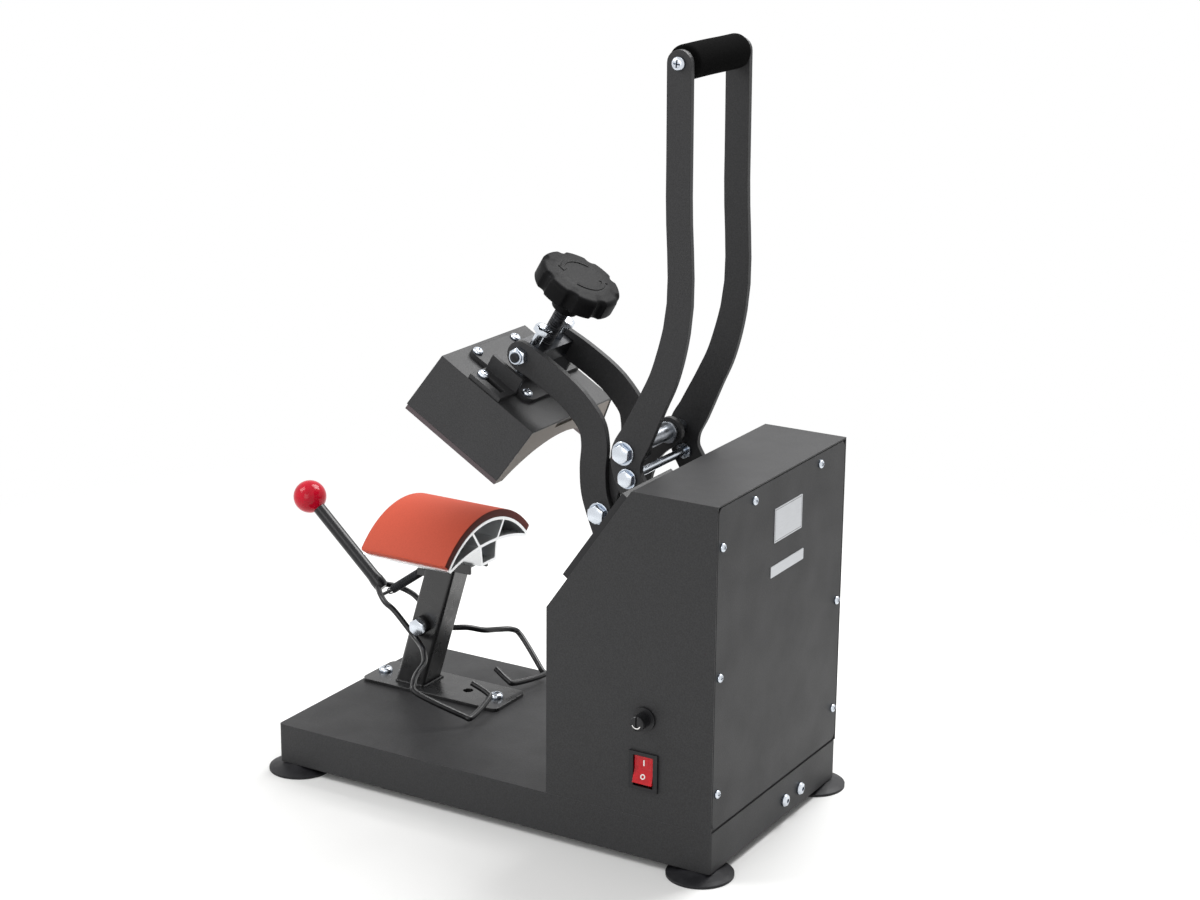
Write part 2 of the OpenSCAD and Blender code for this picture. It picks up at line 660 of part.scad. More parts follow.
fuse_bore = 8;
fuse_depth = 30;
module fuse_turn() stand() translate([base_w / 2, switch_y, fuse_z]) rotate([0, 90, 0]) children();
module fuse_holder() color(plastic_dark) fuse_turn() difference() {
    union() {
        cylinder(d = fuse_flange_d, h = 2.2);
        translate([0, 0, -fuse_depth]) cylinder(d = fuse_body_d, h = fuse_depth + 0.1);
    }
    translate([0, 0, -fuse_depth + 2]) cylinder(d = fuse_bore, h = fuse_depth + 2);
}
module fuse_cap() color("#232325") fuse_turn() difference() {
    union() {
        translate([0, 0, 2.3]) cylinder(d = fuse_cap_d, h = fuse_cap_out - 1);
        translate([0, 0, fuse_cap_out + 1.2]) cylinder(d1 = fuse_cap_d, d2 = fuse_cap_d - 2, h = 1);
        translate([0, 0, -6]) cylinder(d = fuse_bore - 2 * run_gap, h = 9);
    }
    translate([-fuse_cap_d, -0.6, fuse_cap_out + 0.8]) cube([2 * fuse_cap_d, 1.2, 3]);
}
module glass_fuse() color("#dfe7ea") fuse_turn() translate([0, 0, -fuse_depth + 2])
    cylinder(d = 5, h = fuse_depth - 8 - fit);

// Gland where the mains cord would enter, on the side away from the switch
module cord_gland() color(plastic_dark) stand()
    translate([-base_w / 2, gland_at[0], gland_at[1]]) rotate([0, -90, 0]) difference() {
        union() {
            hex_z(5, gland_d);
            translate([0, 0, 4.9]) cylinder(d1 = gland_d - 1.5, d2 = gland_d - 5, h = 9);
            translate([0, 0, -10]) cylinder(d = gland_d - 6, h = 11);
            translate([0, 0, -box_sheet - 4]) hex_z(4, gland_d);
        }
        translate([0, 0, -11]) cylinder(d = gland_bore, h = 26);
    }

// Power board with its transformer, relay and terminals on four pillars
board_at = [22, box_front + 8];
board_size = [76, 60];
module power_board() color("#1f5c38") stand() translate([board_at[0], board_at[1], base_top]) {
    for (x = [5, board_size[0] - 5], y = [5, board_size[1] - 5]) translate([x, y, 0])
        cylinder(d = 6, h = 8.1);
    translate([0, 0, 8]) cube([board_size[0], board_size[1], board_t]);
    translate([8, 10, 8 + board_t - 0.1]) cube([32, 28, 27]);
    translate([46, 12, 8 + board_t - 0.1]) cube([20, 16, 18]);
    for (k = [0 : 4]) translate([10 + 12 * k, 46, 8 + board_t - 0.1]) cube([10, 9, 11]);
}

upright_y = arm_pivot[0];
upright_eye = 32;
module upright_bracket() color(steel_dark) mech() {
    foot_z = base_top;
    difference() {
        union() {
            both_sides() plate_x(upright_in, upright_out) {
                polygon(concat([[upright_y - upright_l / 2, foot_z], [upright_y + upright_l / 2, foot_z],
                    [upright_y + upright_l / 2, foot_z + 34]], arc(handle_pivot, upright_eye / 2, -5, 185),
                    [[upright_y - upright_l / 2 + 2, arm_pivot[1] - 10]]));
            }
            translate([-upright_in - 0.1, upright_y - upright_l / 2, foot_z])
                cube([2 * upright_in + 0.2, upright_l, web_t]);
        }
        rod_x(-upright_out - cut, upright_out + cut, arm_pivot, shaft_d + 2 * fit);
        rod_x(-upright_out - cut, upright_out + cut, handle_pivot, pivot_d + 2 * fit);
    }
}
module arm_shaft() color(zinc) mech() {
    rod_x(-upright_out - 4, upright_out + 4, arm_pivot, shaft_d);
    both_sides() hex_x(upright_out, upright_out + 5.5, arm_pivot, 1.5 * shaft_d);
}
module handle_pivots() color(zinc) mech() both_sides() {
    rod_x(upright_in - 6.5, bar_out + cover_gap + 0.1, handle_pivot, pivot_d);
    rod_x(upright_out, bar_in - cover_gap, handle_pivot, 1.9 * pivot_d);
    hex_x(upright_in - 5.5, upright_in, handle_pivot, 1.6 * pivot_d);
    hex_x(bar_out + cover_gap, pivot_head, handle_pivot, 1.3 * pivot_d);
}

// Eye bolts through the rear skirt hold the return springs
module spring_bolts() color(zinc) stand() for (s = [-1, 1]) {
    x = mech_x + s * return_x;
    rod_y(base_l - 16, base_l + 1, x, spring_bolt_z, 6);
    translate([x, base_l, spring_bolt_z]) rotate([-90, 0, 0]) difference() {
        rotate_extrude() polygon([[0, 0], [5.2, 0], [5.2, 1.4], [4.3, 2.8], [2, 3.4], [0, 3.4]]);
        translate([0, 0, 2.4]) hex_z(2, 3.2);
    }
    rod_y(base_l - sheet - 4, base_l - sheet, x, spring_bolt_z, 11);
    rod_y(base_l - 18, base_l - 15.9, x, spring_bolt_z, 9);
}
return_low = [base_l - 13, spring_bolt_z];
return_line = spring_tail - return_low;
return_len = norm(return_line);
module return_springs() color("#8f9499") mech() for (s = [-1, 1]) {
    translate([s * return_x, return_low[0], return_low[1]])
        rotate([bearing(return_line) - 90, 0, 0]) {
            translate([0, 0, 22]) cylinder(d = return_d, h = return_len - 38);
            translate([0, 0, 4.6]) cylinder(d = 2.4, h = return_len - 10.2);
        }
    rod_ring(s * return_x, spring_tail, 11);
    translate([s * return_x, return_low[0], return_low[1]]) rotate([90, 0, 0])
        rotate_extrude() translate([4.5, 0]) circle(d = 2.4);
}
// A hook's ring round a rod that lies along X
module rod_ring(x, p, d) translate([x, p[0], p[1]]) rotate([0, 90, 0])
    rotate_extrude() translate([d / 2, 0]) circle(d = 2.4);

plate_screw_d = 6;
tab_pin_z = clamp_low - 10;
function post_mid(z) = post_foot + (z - plate_top) * tan(post_lean);
post_half_y = post_w / 2 / cos(post_lean);
pin_axis = [post_mid(tab_pin_z) - post_half_y - 8, tab_pin_z];
module post() color(steel_dark) mech() difference() {
    union() {
        translate([0, 0, base_top]) linear_extrude(foot_plate_t) round_rect(-foot_plate_w / 2,
            plate_mid - foot_plate_l / 2, foot_plate_w / 2, plate_mid + foot_plate_l / 2, 6);
        intersection() {
            translate([0, post_foot, plate_top]) rotate([-post_lean, 0, 0]) translate([0, 0, -20])
                linear_extrude(clamp_low - plate_top + 60) difference() {
                    round_rect(-post_w / 2, -post_w / 2, post_w / 2, post_w / 2, 3);
                    round_rect(-post_w / 2 + post_wall, -post_w / 2 + post_wall,
                        post_w / 2 - post_wall, post_w / 2 - post_wall, 1);
                }
            translate([-post_w, post_foot - 100, plate_top - 0.1])
                cube([2 * post_w, 300, clamp_low - plate_top + 0.1]);
        }
        both_sides() plate_x(coil_d / 2 + 0.9, coil_d / 2 + 2.9) polygon([pin_axis + [-3, -3],
            pin_axis + [-3, 3], pin_axis + [9.5, 3], pin_axis + [8.5, -3]]);
        rod_x(-coil_d / 2 - 2, coil_d / 2 + 2, pin_axis, 3);
    }
    rod_x(-post_w, post_w, lever_pivot, bolt_d + 2 * fit);
    for (y = plate_screws) translate([0, y, base_top - cut])
        cylinder(d = plate_screw_d + 2 * fit, h = foot_plate_t + 2 * cut);
    translate([0, plate_screws[1] - 29, base_top - cut]) cylinder(d = 9, h = foot_plate_t + 2 * cut);
}
module post_screws() color(zinc) mech() {
    for (y = plate_screws) translate([0, y, plate_top]) pan_screw(12, plate_screw_d, foot_plate_t + 8);
    for (y = [-1, 1]) translate([0, pad_mid + y * (clamp_l / 2 - 8), ext_low - 2.5]) mirror([0, 0, 1])
        pan_screw(10, plate_screw_d, 6);
}
module clamp_bracket() color(steel_dark) mech() difference() {
    bar_y(pad_mid - clamp_l / 2, pad_mid + clamp_l / 2) difference() {
        translate([-post_w / 2, clamp_low]) square([post_w, clamp_h]);
        translate([-post_w / 2 + 2.5, clamp_low - cut]) square([post_w - 5, clamp_h - 2.5 + cut]);
    }
    for (y = [-1, 1]) translate([0, pad_mid + y * (clamp_l / 2 - 8), clamp_low])
        cylinder(d = plate_screw_d + 2 * fit, h = clamp_h + cut);
}

// The space between two angles, as a large triangle with its point at the arc's centre
module wedge(r, half) polygon([[0, 0], [-r * tan(half), r], [r * tan(half), r]]);
module arc_band(outer, inner, half) intersection() {
    difference() {
        circle(outer, $fn = 96);
        circle(inner, $fn = 96);
    }
    wedge(outer, half);
}
module lower_platen() color("#c5c8cb") mech() difference() {
    bar_y(pad_mid - pad_l / 2, pad_mid + pad_l / 2) translate([0, pad_centre]) {
        web = ext_web - pad_centre;
        low = ext_low - pad_centre;
        arc_band(ext_r, ext_r - ext_wall, ext_half);
        intersection() {
            translate([0, web - ext_web_r]) difference() {
                circle(ext_web_r, $fn = 180);
                circle(ext_web_r - ext_wall, $fn = 180);
            }
            circle(ext_r - ext_wall / 2, $fn = 96);
            wedge(ext_r, ext_half);
        }
        for (s = [-1, 1]) {
            translate([s * ext_box_half, web - 1]) polygon([[-strut_half, 0], [strut_half, 0],
                [s * strut_lean + strut_half, strut_h], [s * strut_lean - strut_half, strut_h]]);
            polygon([[s * ext_box_half, web], [s * (ext_box_half - ext_wall), web],
                [s * (ext_box_half - ext_wall - box_inset), low], [s * (ext_box_half - box_inset), low]]);
        }
        translate([box_inset - ext_box_half, low]) square([2 * (ext_box_half - box_inset), ext_wall]);
    }
    for (y = [-1, 1]) translate([0, pad_mid + y * (clamp_l / 2 - 8), ext_low - cut])
        cylinder(d = plate_screw_d + 2 * fit, h = ext_wall + 2 * cut);
}
module silicone_pad() color("#b5523c") mech()
    bar_y(pad_mid - pad_l / 2, pad_mid + pad_l / 2) translate([0, pad_centre])
        arc_band(pad_r, pad_r - pad_t, pad_half);

lever_eye = [post_w / 2 + 0.5, post_w / 2 + 5.8];
module lever_bolt() color(zinc) mech() {
    seat = lever_eye[1] + cover_gap;
    rod_x(-seat - 6, seat + 0.1, lever_pivot, bolt_d);
    hex_x(seat, seat + 5.3, lever_pivot, 1.65 * bolt_d);
    hex_x(-seat - 5, -seat, lever_pivot, 1.65 * bolt_d);
}
// Fork wire on the switch side, from the rod's end past the post to its turned-in tip
fork_at = [-54, 21];
hook_at = [-44.5, 17.5];
wire_x = post_w / 2 + wire_d / 2 + 1.3;
ear_at = [-9.5, -8.5];
wire_points = [[rod_d / 2 - 0.5, fork_at[0], fork_at[1]], [12, -46, 18], [wire_x - 0.6, -37, 13.5],
    [wire_x, -27, 8], concat(wire_x, ear_at), [23, 2, -14], [34, 14, -15.5], [46, 23, -20],
    [63, 27, -24], [76, 33, -27], [80, 40, -33], [62, 72, -51.5], [56, 78, -54], [21, 71.5, -51],
    [16.5, 67, -48], [19, 53, -41]];
module hold_lever() color("#1b1c1e") mech() translate([0, lever_pivot[0], lever_pivot[1]]) {
    ball = [-ball_fwd, ball_up];
    reach = fork_at - ball;
    difference() {
        union() {
            translate([0, ball[0], ball[1]]) rotate([bearing(reach) - 90, 0, 0])
                translate([0, 0, ball_d / 2 - 4]) cylinder(d = rod_d, h = norm(reach) - ball_d / 2 + 7);
            both_sides() {
                tube(curve(wire_points, 4), wire_d, 8, [1, 0, 0]);
                plate_x(lever_eye[0], lever_eye[1]) {
                    polygon(strip([[0, 0, bolt_d + 7], concat(ear_at, 7)]));
                }
            }
            rod_x(-13, 13, hook_at, 3);
        }
        rod_x(-lever_eye[1] - cut, lever_eye[1] + cut, [0, 0], bolt_d + 2 * run_gap);
    }
}
module lever_ball() color("#c4122f") mech() translate([0, lever_ball_at[0], lever_ball_at[1]])
    difference() {
        sphere(d = ball_d, $fn = 64);
        reach = fork_at - [-ball_fwd, ball_up];
        rotate([bearing(reach) - 90, 0, 0]) translate([0, 0, ball_d / 2 - 4 - fit])
            cylinder(d = rod_d + 2 * fit, h = ball_d);
    }

// Extension spring from the lever's cross pin to the pin on the post
spring_low = lever_pivot + hook_at;
spring_line = pin_axis - spring_low;
spring_l = norm(spring_line);
coil_r = (coil_d - coil_wire) / 2;
hook_r = 2.4;
coil_l = spring_l - 2 * hook_r - 6;
coil_z = (spring_l - coil_l) / 2;
low_hook = [for (a = [-60 : 30 : 180]) [0, -hook_r * cos(a), -hook_r * sin(a)]];
turns = [for (k = [0 : 8 * coil_turns])
    [coil_r * sin(45 * k), coil_r * cos(45 * k), coil_z + coil_l * k / (8 * coil_turns)]];
high_hook = [for (a = [0 : 30 : 240]) [0, hook_r * cos(a), spring_l + hook_r * sin(a)]];
spring_path = concat(low_hook, turns, high_hook);
coil_gap = min([for (i = [len(low_hook) : len(low_hook) + len(turns) - 9], j = [i + 5 : i + 9])
    norm(spring_path[i] - spring_path[j])]) - coil_wire;
echo(lever_spring_least_gap = coil_gap);
module lever_spring() color("#2a2b2d") mech() translate([0, spring_low[0], spring_low[1]])
    rotate([bearing(spring_line) - 90, 0, 0]) tube(spring_path, coil_wire, 6, [1, 0, 0]);

// Handle bar: up from its pivot, round the link shaft and forward of the grip
bar_points = [
    concat(handle_pivot, 26), concat(handle_pivot + [-9, 15.5], 25),
    concat(handle_pivot + [-15, 26.5], 25), concat(link_top + [2.5, -3], bar_low_w + 1),
    concat(link_top + [11.3, 15], bar_low_w), concat(link_top + [26, 46], 24),
    concat(link_top + [33.6, 62.5], 23.5), concat(link_top + [39.8, 82], 23),
    concat(link_top + [44.8, 104], 21.8), concat(grip_axis + [0.8, -100], bar_w),
    concat(grip_axis, bar_w)];
module handle_bar() plate_x(bar_in, bar_out) difference() {
    polygon(strip(bar_points));
    hole(handle_pivot, pivot_d + 2 * run_gap);
    hole(link_top, bolt_d + 2 * fit);
    hole(stop_axis, stop_d + 2 * fit);
    hole(grip_axis, grip_screw_d + 2 * fit);
}
grip_screw_d = 6;
module handle_bar_right() color(steel_dark) mech() handle_bar();
module handle_bar_left() color(steel_dark) mech() left() handle_bar();
module grip_core() color("#7d8084") mech() difference() {
    rod_x(-bar_in, bar_in, grip_axis, grip_core_d);
    both_sides() rod_x(bar_in - 20, bar_in + cut, grip_axis, grip_screw_d + 2 * fit);
}
module foam_grip() color("#161617") mech() difference() {
    rod_x(-bar_in + cover_gap, bar_in - cover_gap, grip_axis, grip_d);
    rod_x(-bar_in, bar_in, grip_axis, grip_core_d + 2 * fit);
}
module grip_screws() color(zinc) mech() both_sides() translate([bar_out, grip_axis[0], grip_axis[1]])
    rotate([0, 90, 0]) pan_screw(11, grip_screw_d, 18);
module link_shaft() color("#b4b8bd") mech() difference() {
    union() {
        rod_x(-bar_in, bar_in, link_top, shaft_d);
        both_sides() rod_x(link_in - 3.5, link_in - cover_gap, link_top, 1.5 * shaft_d);
        both_sides() rod_x(link_out + cover_gap, link_out + 3.5, link_top, 1.5 * shaft_d);
    }
    both_sides() rod_x(bar_in - 14, bar_in + cut, link_top, bolt_d + 2 * fit);
}
module shaft_bolts() color(zinc) mech() both_sides()
    side_bolt(link_top, bar_out, bar_in - 12, bolt_d, 1.65 * bolt_d, 2.25 * bolt_d);
module stop_rod() color("#d9dce0") mech() {
    rod_x(-bar_out - 6, bar_out + 1, stop_axis, stop_d);
    hex_x(bar_out, bar_out + 5, stop_axis, 1.7 * stop_d);
    hex_x(-bar_out - 5, -bar_out, stop_axis, 1.7 * stop_d);
    hex_x(-bar_in, -bar_in + bar_gap - 0.5, stop_axis, 1.7 * stop_d);
}

// Link: bowed forward, clear of the stop rod, with a nut at its lower end
link_points = [concat(link_top, link_w + 5), concat(link_top + [-15.7, -17.5], link_w),
    concat(link_top + [-22.7, -31], link_w), concat(joint, link_w + 2)];
module link() {
    plate_x(link_in, link_out) difference() {
        polygon(strip(link_points));
        hole(link_top, shaft_d + 2 * run_gap);
    }
    hex_x(link_in - 6, link_in + 0.1, joint, 1.6 * pivot_d);
    rod_x(link_in - 7.5, link_in - 5.9, joint, pivot_d - 1);
}
module link_right() color(steel_dark) mech() link();
module link_left() color(steel_dark) mech() left() link();

// Arm: from the head pivot back and down past the links' joint to the arm pivot
arm_points = [
    concat(head_pivot, arm_w), concat(head_pivot + [22.8, -11.4], arm_w),
    concat(head_pivot + [57.2, -35.9], arm_w), concat(head_pivot + [67.5, -50], arm_w),
    concat(joint + [-5.2, 57.5], arm_w), concat(joint + [-6.4, 35], arm_w),
    concat(joint + [-5, 16], arm_w), concat(joint, arm_w), concat(arm_pivot, arm_w + 4)];
module arm() plate_x(arm_in, arm_out) difference() {
    union() {
        polygon(strip(arm_points));
        polygon(strip([concat(arm_pivot, 24), concat(spring_tail, 18)]));
    }
    hole(head_pivot, bolt_d + 2 * fit);
    hole(joint, pivot_d + 2 * fit);
    hole(arm_pivot, shaft_d + 2 * run_gap);
    hole(spring_tail, 8 + 2 * fit);
}
module arm_right() color(steel_dark) mech() arm();
module arm_left() color(steel_dark) mech() left() arm();
module joint_bolts() color(zinc) mech() both_sides()
    side_bolt(joint, arm_out, arm_in, pivot_d, 1.35 * pivot_d, 1.75 * pivot_d);
module spring_rod() color(zinc) mech() rod_x(-arm_out, arm_out, spring_tail, 8);
module head_bolts() color(zinc) mech() both_sides() {
    rod_x(guide_x + bolt_d / 2 + 0.8, arm_out + 8.8, head_pivot, bolt_d);
    hex_x(arm_out, arm_out + 5.6, head_pivot, 1.65 * bolt_d);
    rod_x(arm_out + 5.5, arm_out + 7.2, head_pivot, 1.4 * bolt_d);
}

module crosshead() color("#3c3d40") head() difference() {
    translate([-block_half, -block_l / 2, -block_down])
        cube([2 * block_half, block_l, block_up + block_down]);
    both_sides() rod_x(guide_x + bolt_d / 2 + 0.5, block_half + cut, [0, 0], bolt_d + 2 * run_gap);
    translate([0, 0, -block_down - cut]) cylinder(d = spindle_d + 2 * run_gap, h = 60);
    for (s = [-1, 1]) translate([s * guide_x, 0, -block_down - cut])
        cylinder(d = bolt_d + 2 * run_gap, h = 60);
}
module tab() {
    translate([tab_in, tab_rear - tab_l, hood_top]) cube([3.5, tab_l, tab_up]);
    difference() {
        translate([tab_in, tab_rear - tab_l, hood_top]) cube([tab_out - tab_in, tab_l, carrier_t]);
        translate([tab_screw[0] - 3, tab_screw[1], hood_top - cut])
            cube([6, tab_l - 11, carrier_t + 2 * cut]);
        translate([tab_screw[0], tab_screw[1], hood_top - cut]) cylinder(d = 6, h = carrier_t + 2 * cut);
    }
}
module head_carrier() color(steel_dark) head() {
    difference() {
        union() {
            translate([0, 0, hood_top]) linear_extrude(carrier_t)
                round_rect(-carrier_w / 2, carrier_front, carrier_w / 2, carrier_rear, 8);
            translate([0, 0, hood_top]) cylinder(d = spindle_d + 10, h = carrier_t + collar_h);
        }
        translate([0, 0, carrier_top]) cylinder(d = spindle_d + 2 * run_gap, h = collar_h + cut);
        for (s = [-1, 1]) translate([s * guide_x, 0, hood_top - cut])
            cylinder(d = bolt_d + 2 * fit, h = carrier_t + collar_h + 2 * cut);
        for (p = carrier_screws) translate([p[0], p[1], hood_top - cut])
            cylinder(d = head_screw_d + 2 * fit, h = carrier_t + 2 * cut);
    }
    both_sides() tab();
}
module hood() color(steel_dark) head() difference() {
    bar_y(-hood_front, hood_rear) difference() {
        polygon([[-hood_half(hood_low), hood_low], [-hood_half(hood_top), hood_top],
            [hood_half(hood_top), hood_top], [hood_half(hood_low), hood_low]]);
        polygon([[-hood_half(hood_low) + hood_side_t, hood_low - 0.01],
            [-hood_half(hood_inner) + hood_side_t, hood_inner],
            [hood_half(hood_inner) - hood_side_t, hood_inner],
            [hood_half(hood_low) - hood_side_t, hood_low - 0.01]]);
    }
    for (p = carrier_screws) translate([p[0], p[1], hood_inner - cut])
        cylinder(d = head_screw_d + 2 * fit, h = hood_sheet + 2 * cut);
    both_sides() translate([tab_screw[0], tab_screw[1], hood_inner - cut])
        cylinder(d = head_screw_d + 2 * fit, h = hood_sheet + 2 * cut);
}
module head_screws() color(zinc) head() {
    for (p = carrier_screws) translate([p[0], p[1], carrier_top]) pan_screw(9, head_screw_d, head_screw_l);
    both_sides() translate([tab_screw[0], tab_screw[1], carrier_top])
        pan_screw(10, head_screw_d, head_screw_l);
}
heater_gap = hood_side_t + cover_gap;
module heater_plate() color("#a8988b") head() difference() {
    bar_y(-hood_front + 0.5, hood_rear - 0.5) difference() {
        polygon([[-hood_half(heater_low) + heater_gap, heater_low],
            [-hood_half(hood_inner) + heater_gap, hood_inner], [-recess_half, hood_inner],
            [-recess_half, hood_inner - recess_h], [recess_half, hood_inner - recess_h],
            [recess_half, hood_inner], [hood_half(hood_inner) - heater_gap, hood_inner],
            [hood_half(heater_low) - heater_gap, heater_low]]);
        translate([0, press_centre]) circle(press_r, $fn = 96);
    }
    for (p = carrier_screws) translate([p[0], p[1], carrier_top - head_screw_l - 1])
        cylinder(d = head_screw_d + 2 * fit, h = head_screw_l);
    both_sides() translate([tab_screw[0], tab_screw[1], carrier_top - head_screw_l - 1])
        cylinder(d = head_screw_d + 2 * fit, h = head_screw_l);
}
module heating_element() color("#6d4a33") head()
    translate([-recess_half + 0.5, -hood_front + 6, hood_inner - recess_h])
        cube([2 * recess_half - 1, hood_l - 12, element_t]);
module insulation() color("#26241f") head()
    translate([-recess_half + 0.3, -hood_front + 1.5, hood_inner - recess_h + element_t])
        cube([2 * recess_half - 0.6, hood_l - 3, recess_h - element_t]);
module guide_bolts() color(zinc) head() for (s = [-1, 1]) translate([s * guide_x, 0, 0]) {
    translate([0, 0, hood_top]) cylinder(d = bolt_d, h = guide_up - hood_top + 0.1);
    translate([0, 0, guide_up]) hex_z(5.3, 1.6 * bolt_d);
}
module spindle() color("#1f2022") head() translate([0, 0, carrier_top + fit])
    cylinder(d = spindle_d, h = knob_top - 8 - carrier_top);
module pressure_knob() color(plastic_dark) head() difference() {
    rim_low = knob_top - knob_rim;
    union() {
        difference() {
            rotate_extrude() polygon([[0, rim_low], [knob_d / 2 - 3, rim_low], [knob_d / 2, rim_low + 3],
                [knob_d / 2, knob_top - 5], [knob_d / 2 - 4, knob_top - 1.5], [knob_d / 2 - 12, knob_top],
                [0, knob_top]]);
            for (k = [0 : knob_grooves - 1]) rotate(360 * (k + 0.5) / knob_grooves)
                translate([knob_d / 2 + 4.5, 0, rim_low - cut]) cylinder(d = 14, h = knob_rim + 2 * cut);
        }
        rotate_extrude() polygon([[0, hub_low], [10, hub_low], [11.5, hub_low + 2], [12.5, rim_low - 6],
            [20, rim_low + 0.1], [0, rim_low + 0.1]]);
    }
    translate([0, 0, hub_low - cut])
        cylinder(d = spindle_d + 2 * fit, h = knob_top - 8 - hub_low + cut + fit);
}

base_tray();
rubber_feet();
foot_studs();
box_shell();
back_panel();
back_screws();
blank_plates();
control_panel();
display_window();
display_board();
button(-1);  // button_mode
button(0);  // button_down
button(1);  // button_up
switch_bezel();
switch_rocker();
fuse_holder();
fuse_cap();
glass_fuse();
cord_gland();
power_board();
upright_bracket();
arm_shaft();
handle_pivots();
spring_bolts();
return_springs();
post();
post_screws();
clamp_bracket();
lower_platen();
silicone_pad();
lever_bolt();
lever_spring();
hold_lever();
lever_ball();
handle_bar_right();
handle_bar_left();
grip_core();
foam_grip();
grip_screws();
link_shaft();
shaft_bolts();
stop_rod();
link_right();
link_left();
arm_right();
arm_left();
joint_bolts();
head_bolts();
spring_rod();
crosshead();
head_carrier();
hood();
head_screws();
insulation();
heating_element();
heater_plate();
guide_bolts();
spindle();
pressure_knob();
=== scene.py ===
import json
import math

import bmesh
import bpy
from bpy.props import FloatProperty, FloatVectorProperty, IntProperty, PointerProperty
from mathutils import Matrix, Vector


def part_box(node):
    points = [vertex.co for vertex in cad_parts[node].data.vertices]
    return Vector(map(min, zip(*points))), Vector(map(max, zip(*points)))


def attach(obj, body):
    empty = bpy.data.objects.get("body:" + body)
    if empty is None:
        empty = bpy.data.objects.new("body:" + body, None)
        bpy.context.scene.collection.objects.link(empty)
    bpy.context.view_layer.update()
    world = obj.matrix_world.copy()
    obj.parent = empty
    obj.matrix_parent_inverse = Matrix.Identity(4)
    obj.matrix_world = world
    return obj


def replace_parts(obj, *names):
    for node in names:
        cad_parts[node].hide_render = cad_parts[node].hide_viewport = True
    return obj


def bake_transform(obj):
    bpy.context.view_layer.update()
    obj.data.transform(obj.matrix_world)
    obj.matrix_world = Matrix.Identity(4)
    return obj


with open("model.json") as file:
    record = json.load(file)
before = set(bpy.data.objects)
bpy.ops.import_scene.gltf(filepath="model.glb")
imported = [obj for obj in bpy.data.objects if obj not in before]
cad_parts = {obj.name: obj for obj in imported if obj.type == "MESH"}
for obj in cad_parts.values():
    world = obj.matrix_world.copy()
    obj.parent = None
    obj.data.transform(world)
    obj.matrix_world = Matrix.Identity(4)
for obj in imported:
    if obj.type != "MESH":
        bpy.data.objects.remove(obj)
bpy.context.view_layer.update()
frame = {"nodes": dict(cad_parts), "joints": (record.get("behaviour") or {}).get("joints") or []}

bl_info = {
    "name": "Cap heat press",
    "version": (1, 0, 0),
    "blender": (4, 5, 0),
    "location": "3D View > Sidebar > Press",
    "description": "Finishes and fine shapes of a cap heat press, built round its packed model",
    "category": "Add Mesh",
}

MM = 0.001
X, Y, Z = Vector((1, 0, 0)), Vector((0, 1, 0)), Vector((0, 0, 1))
SQUARE = ((-1, -1), (1, -1), (1, 1), (-1, 1))
FOOT_PLATE = 3 * MM
POST_LEAN = math.radians(16.7)
PANEL_SLOPE = math.atan2(105, 74)
PAD_RADIUS, PAD_THICKNESS, PAD_HALF = 86 * MM, 6.5 * MM, math.radians(48.8)

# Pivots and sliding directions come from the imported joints
JOINTS = {j["name"]: j for j in frame["joints"]}


def pivot(joint):
    return Vector(JOINTS[joint]["pos_m"])


HANDLE_PIVOT = pivot("handle_swing")
LINK_SHAFT = pivot("link_swing")
ARM_PIVOT = pivot("arm_swing")
HEAD_PIVOT = pivot("head_tilt")
LEVER_PIVOT = pivot("lever_swing")
HEAD_UP = Vector(JOINTS["head_slide"]["axis"]).normalized()
HEAD_REAR = HEAD_UP.cross(X)
LEVER_PIN = LEVER_PIVOT + Vector((0, -44.5, 17.5)) * MM


def linear(code):
    """A colour written in sRGB hex, as the linear values that shaders take."""
    parts = [int(code[i : i + 2], 16) / 255 for i in (0, 2, 4)]
    return tuple(c / 12.92 if c <= 0.04045 else ((c + 0.055) / 1.055) ** 2.4 for c in parts)


def length(name, text, value):
    return FloatProperty(name=name, description=text, default=value, subtype="DISTANCE", unit="LENGTH")


def tint(name, text, code):
    return FloatVectorProperty(name=name, description=text, default=linear(code), size=3,
        min=0, max=1, subtype="COLOR")


class PressFinish(bpy.types.PropertyGroup):
    powder: tint("Powder coat", "Dark grey polyester powder on the sheet steel", "303031")
    powder_grain: length("Powder grain", "Spacing of the powder coat's orange peel", 1.1 * MM)
    sheet_edge: length("Sheet edge", "Rounding of the edges of cut and folded sheet", 0.8 * MM)
    zinc: tint("Zinc plate", "Bright bluish zinc on the fasteners", "d3d9e1")
    silicone: tint("Silicone pad", "Terracotta silicone rubber", "b94c36")
    # The pad's cut ends are given a darker colour as painted shade
    silicone_end: tint("Silicone ends", "Cut ends of the pad", "531d16")
    ball: tint("Ball", "Red phenolic ball", "b40b25")
    rocker: tint("Rocker", "Red rocker of the power switch", "b80c1a")
    nylon: tint("Nylon", "Black glass-filled nylon of the knob", "0c0c0d")
    foam: tint("Foam", "Black nitrile foam of the grip", "090909")
    heater: tint("Heater", "Cut ends of the cast heater plate", "938980")
    # The heater's long sides are given a darker colour as painted shade
    heater_side: tint("Heater side", "Shade-painted long sides of the heater plate", "4a3f42")


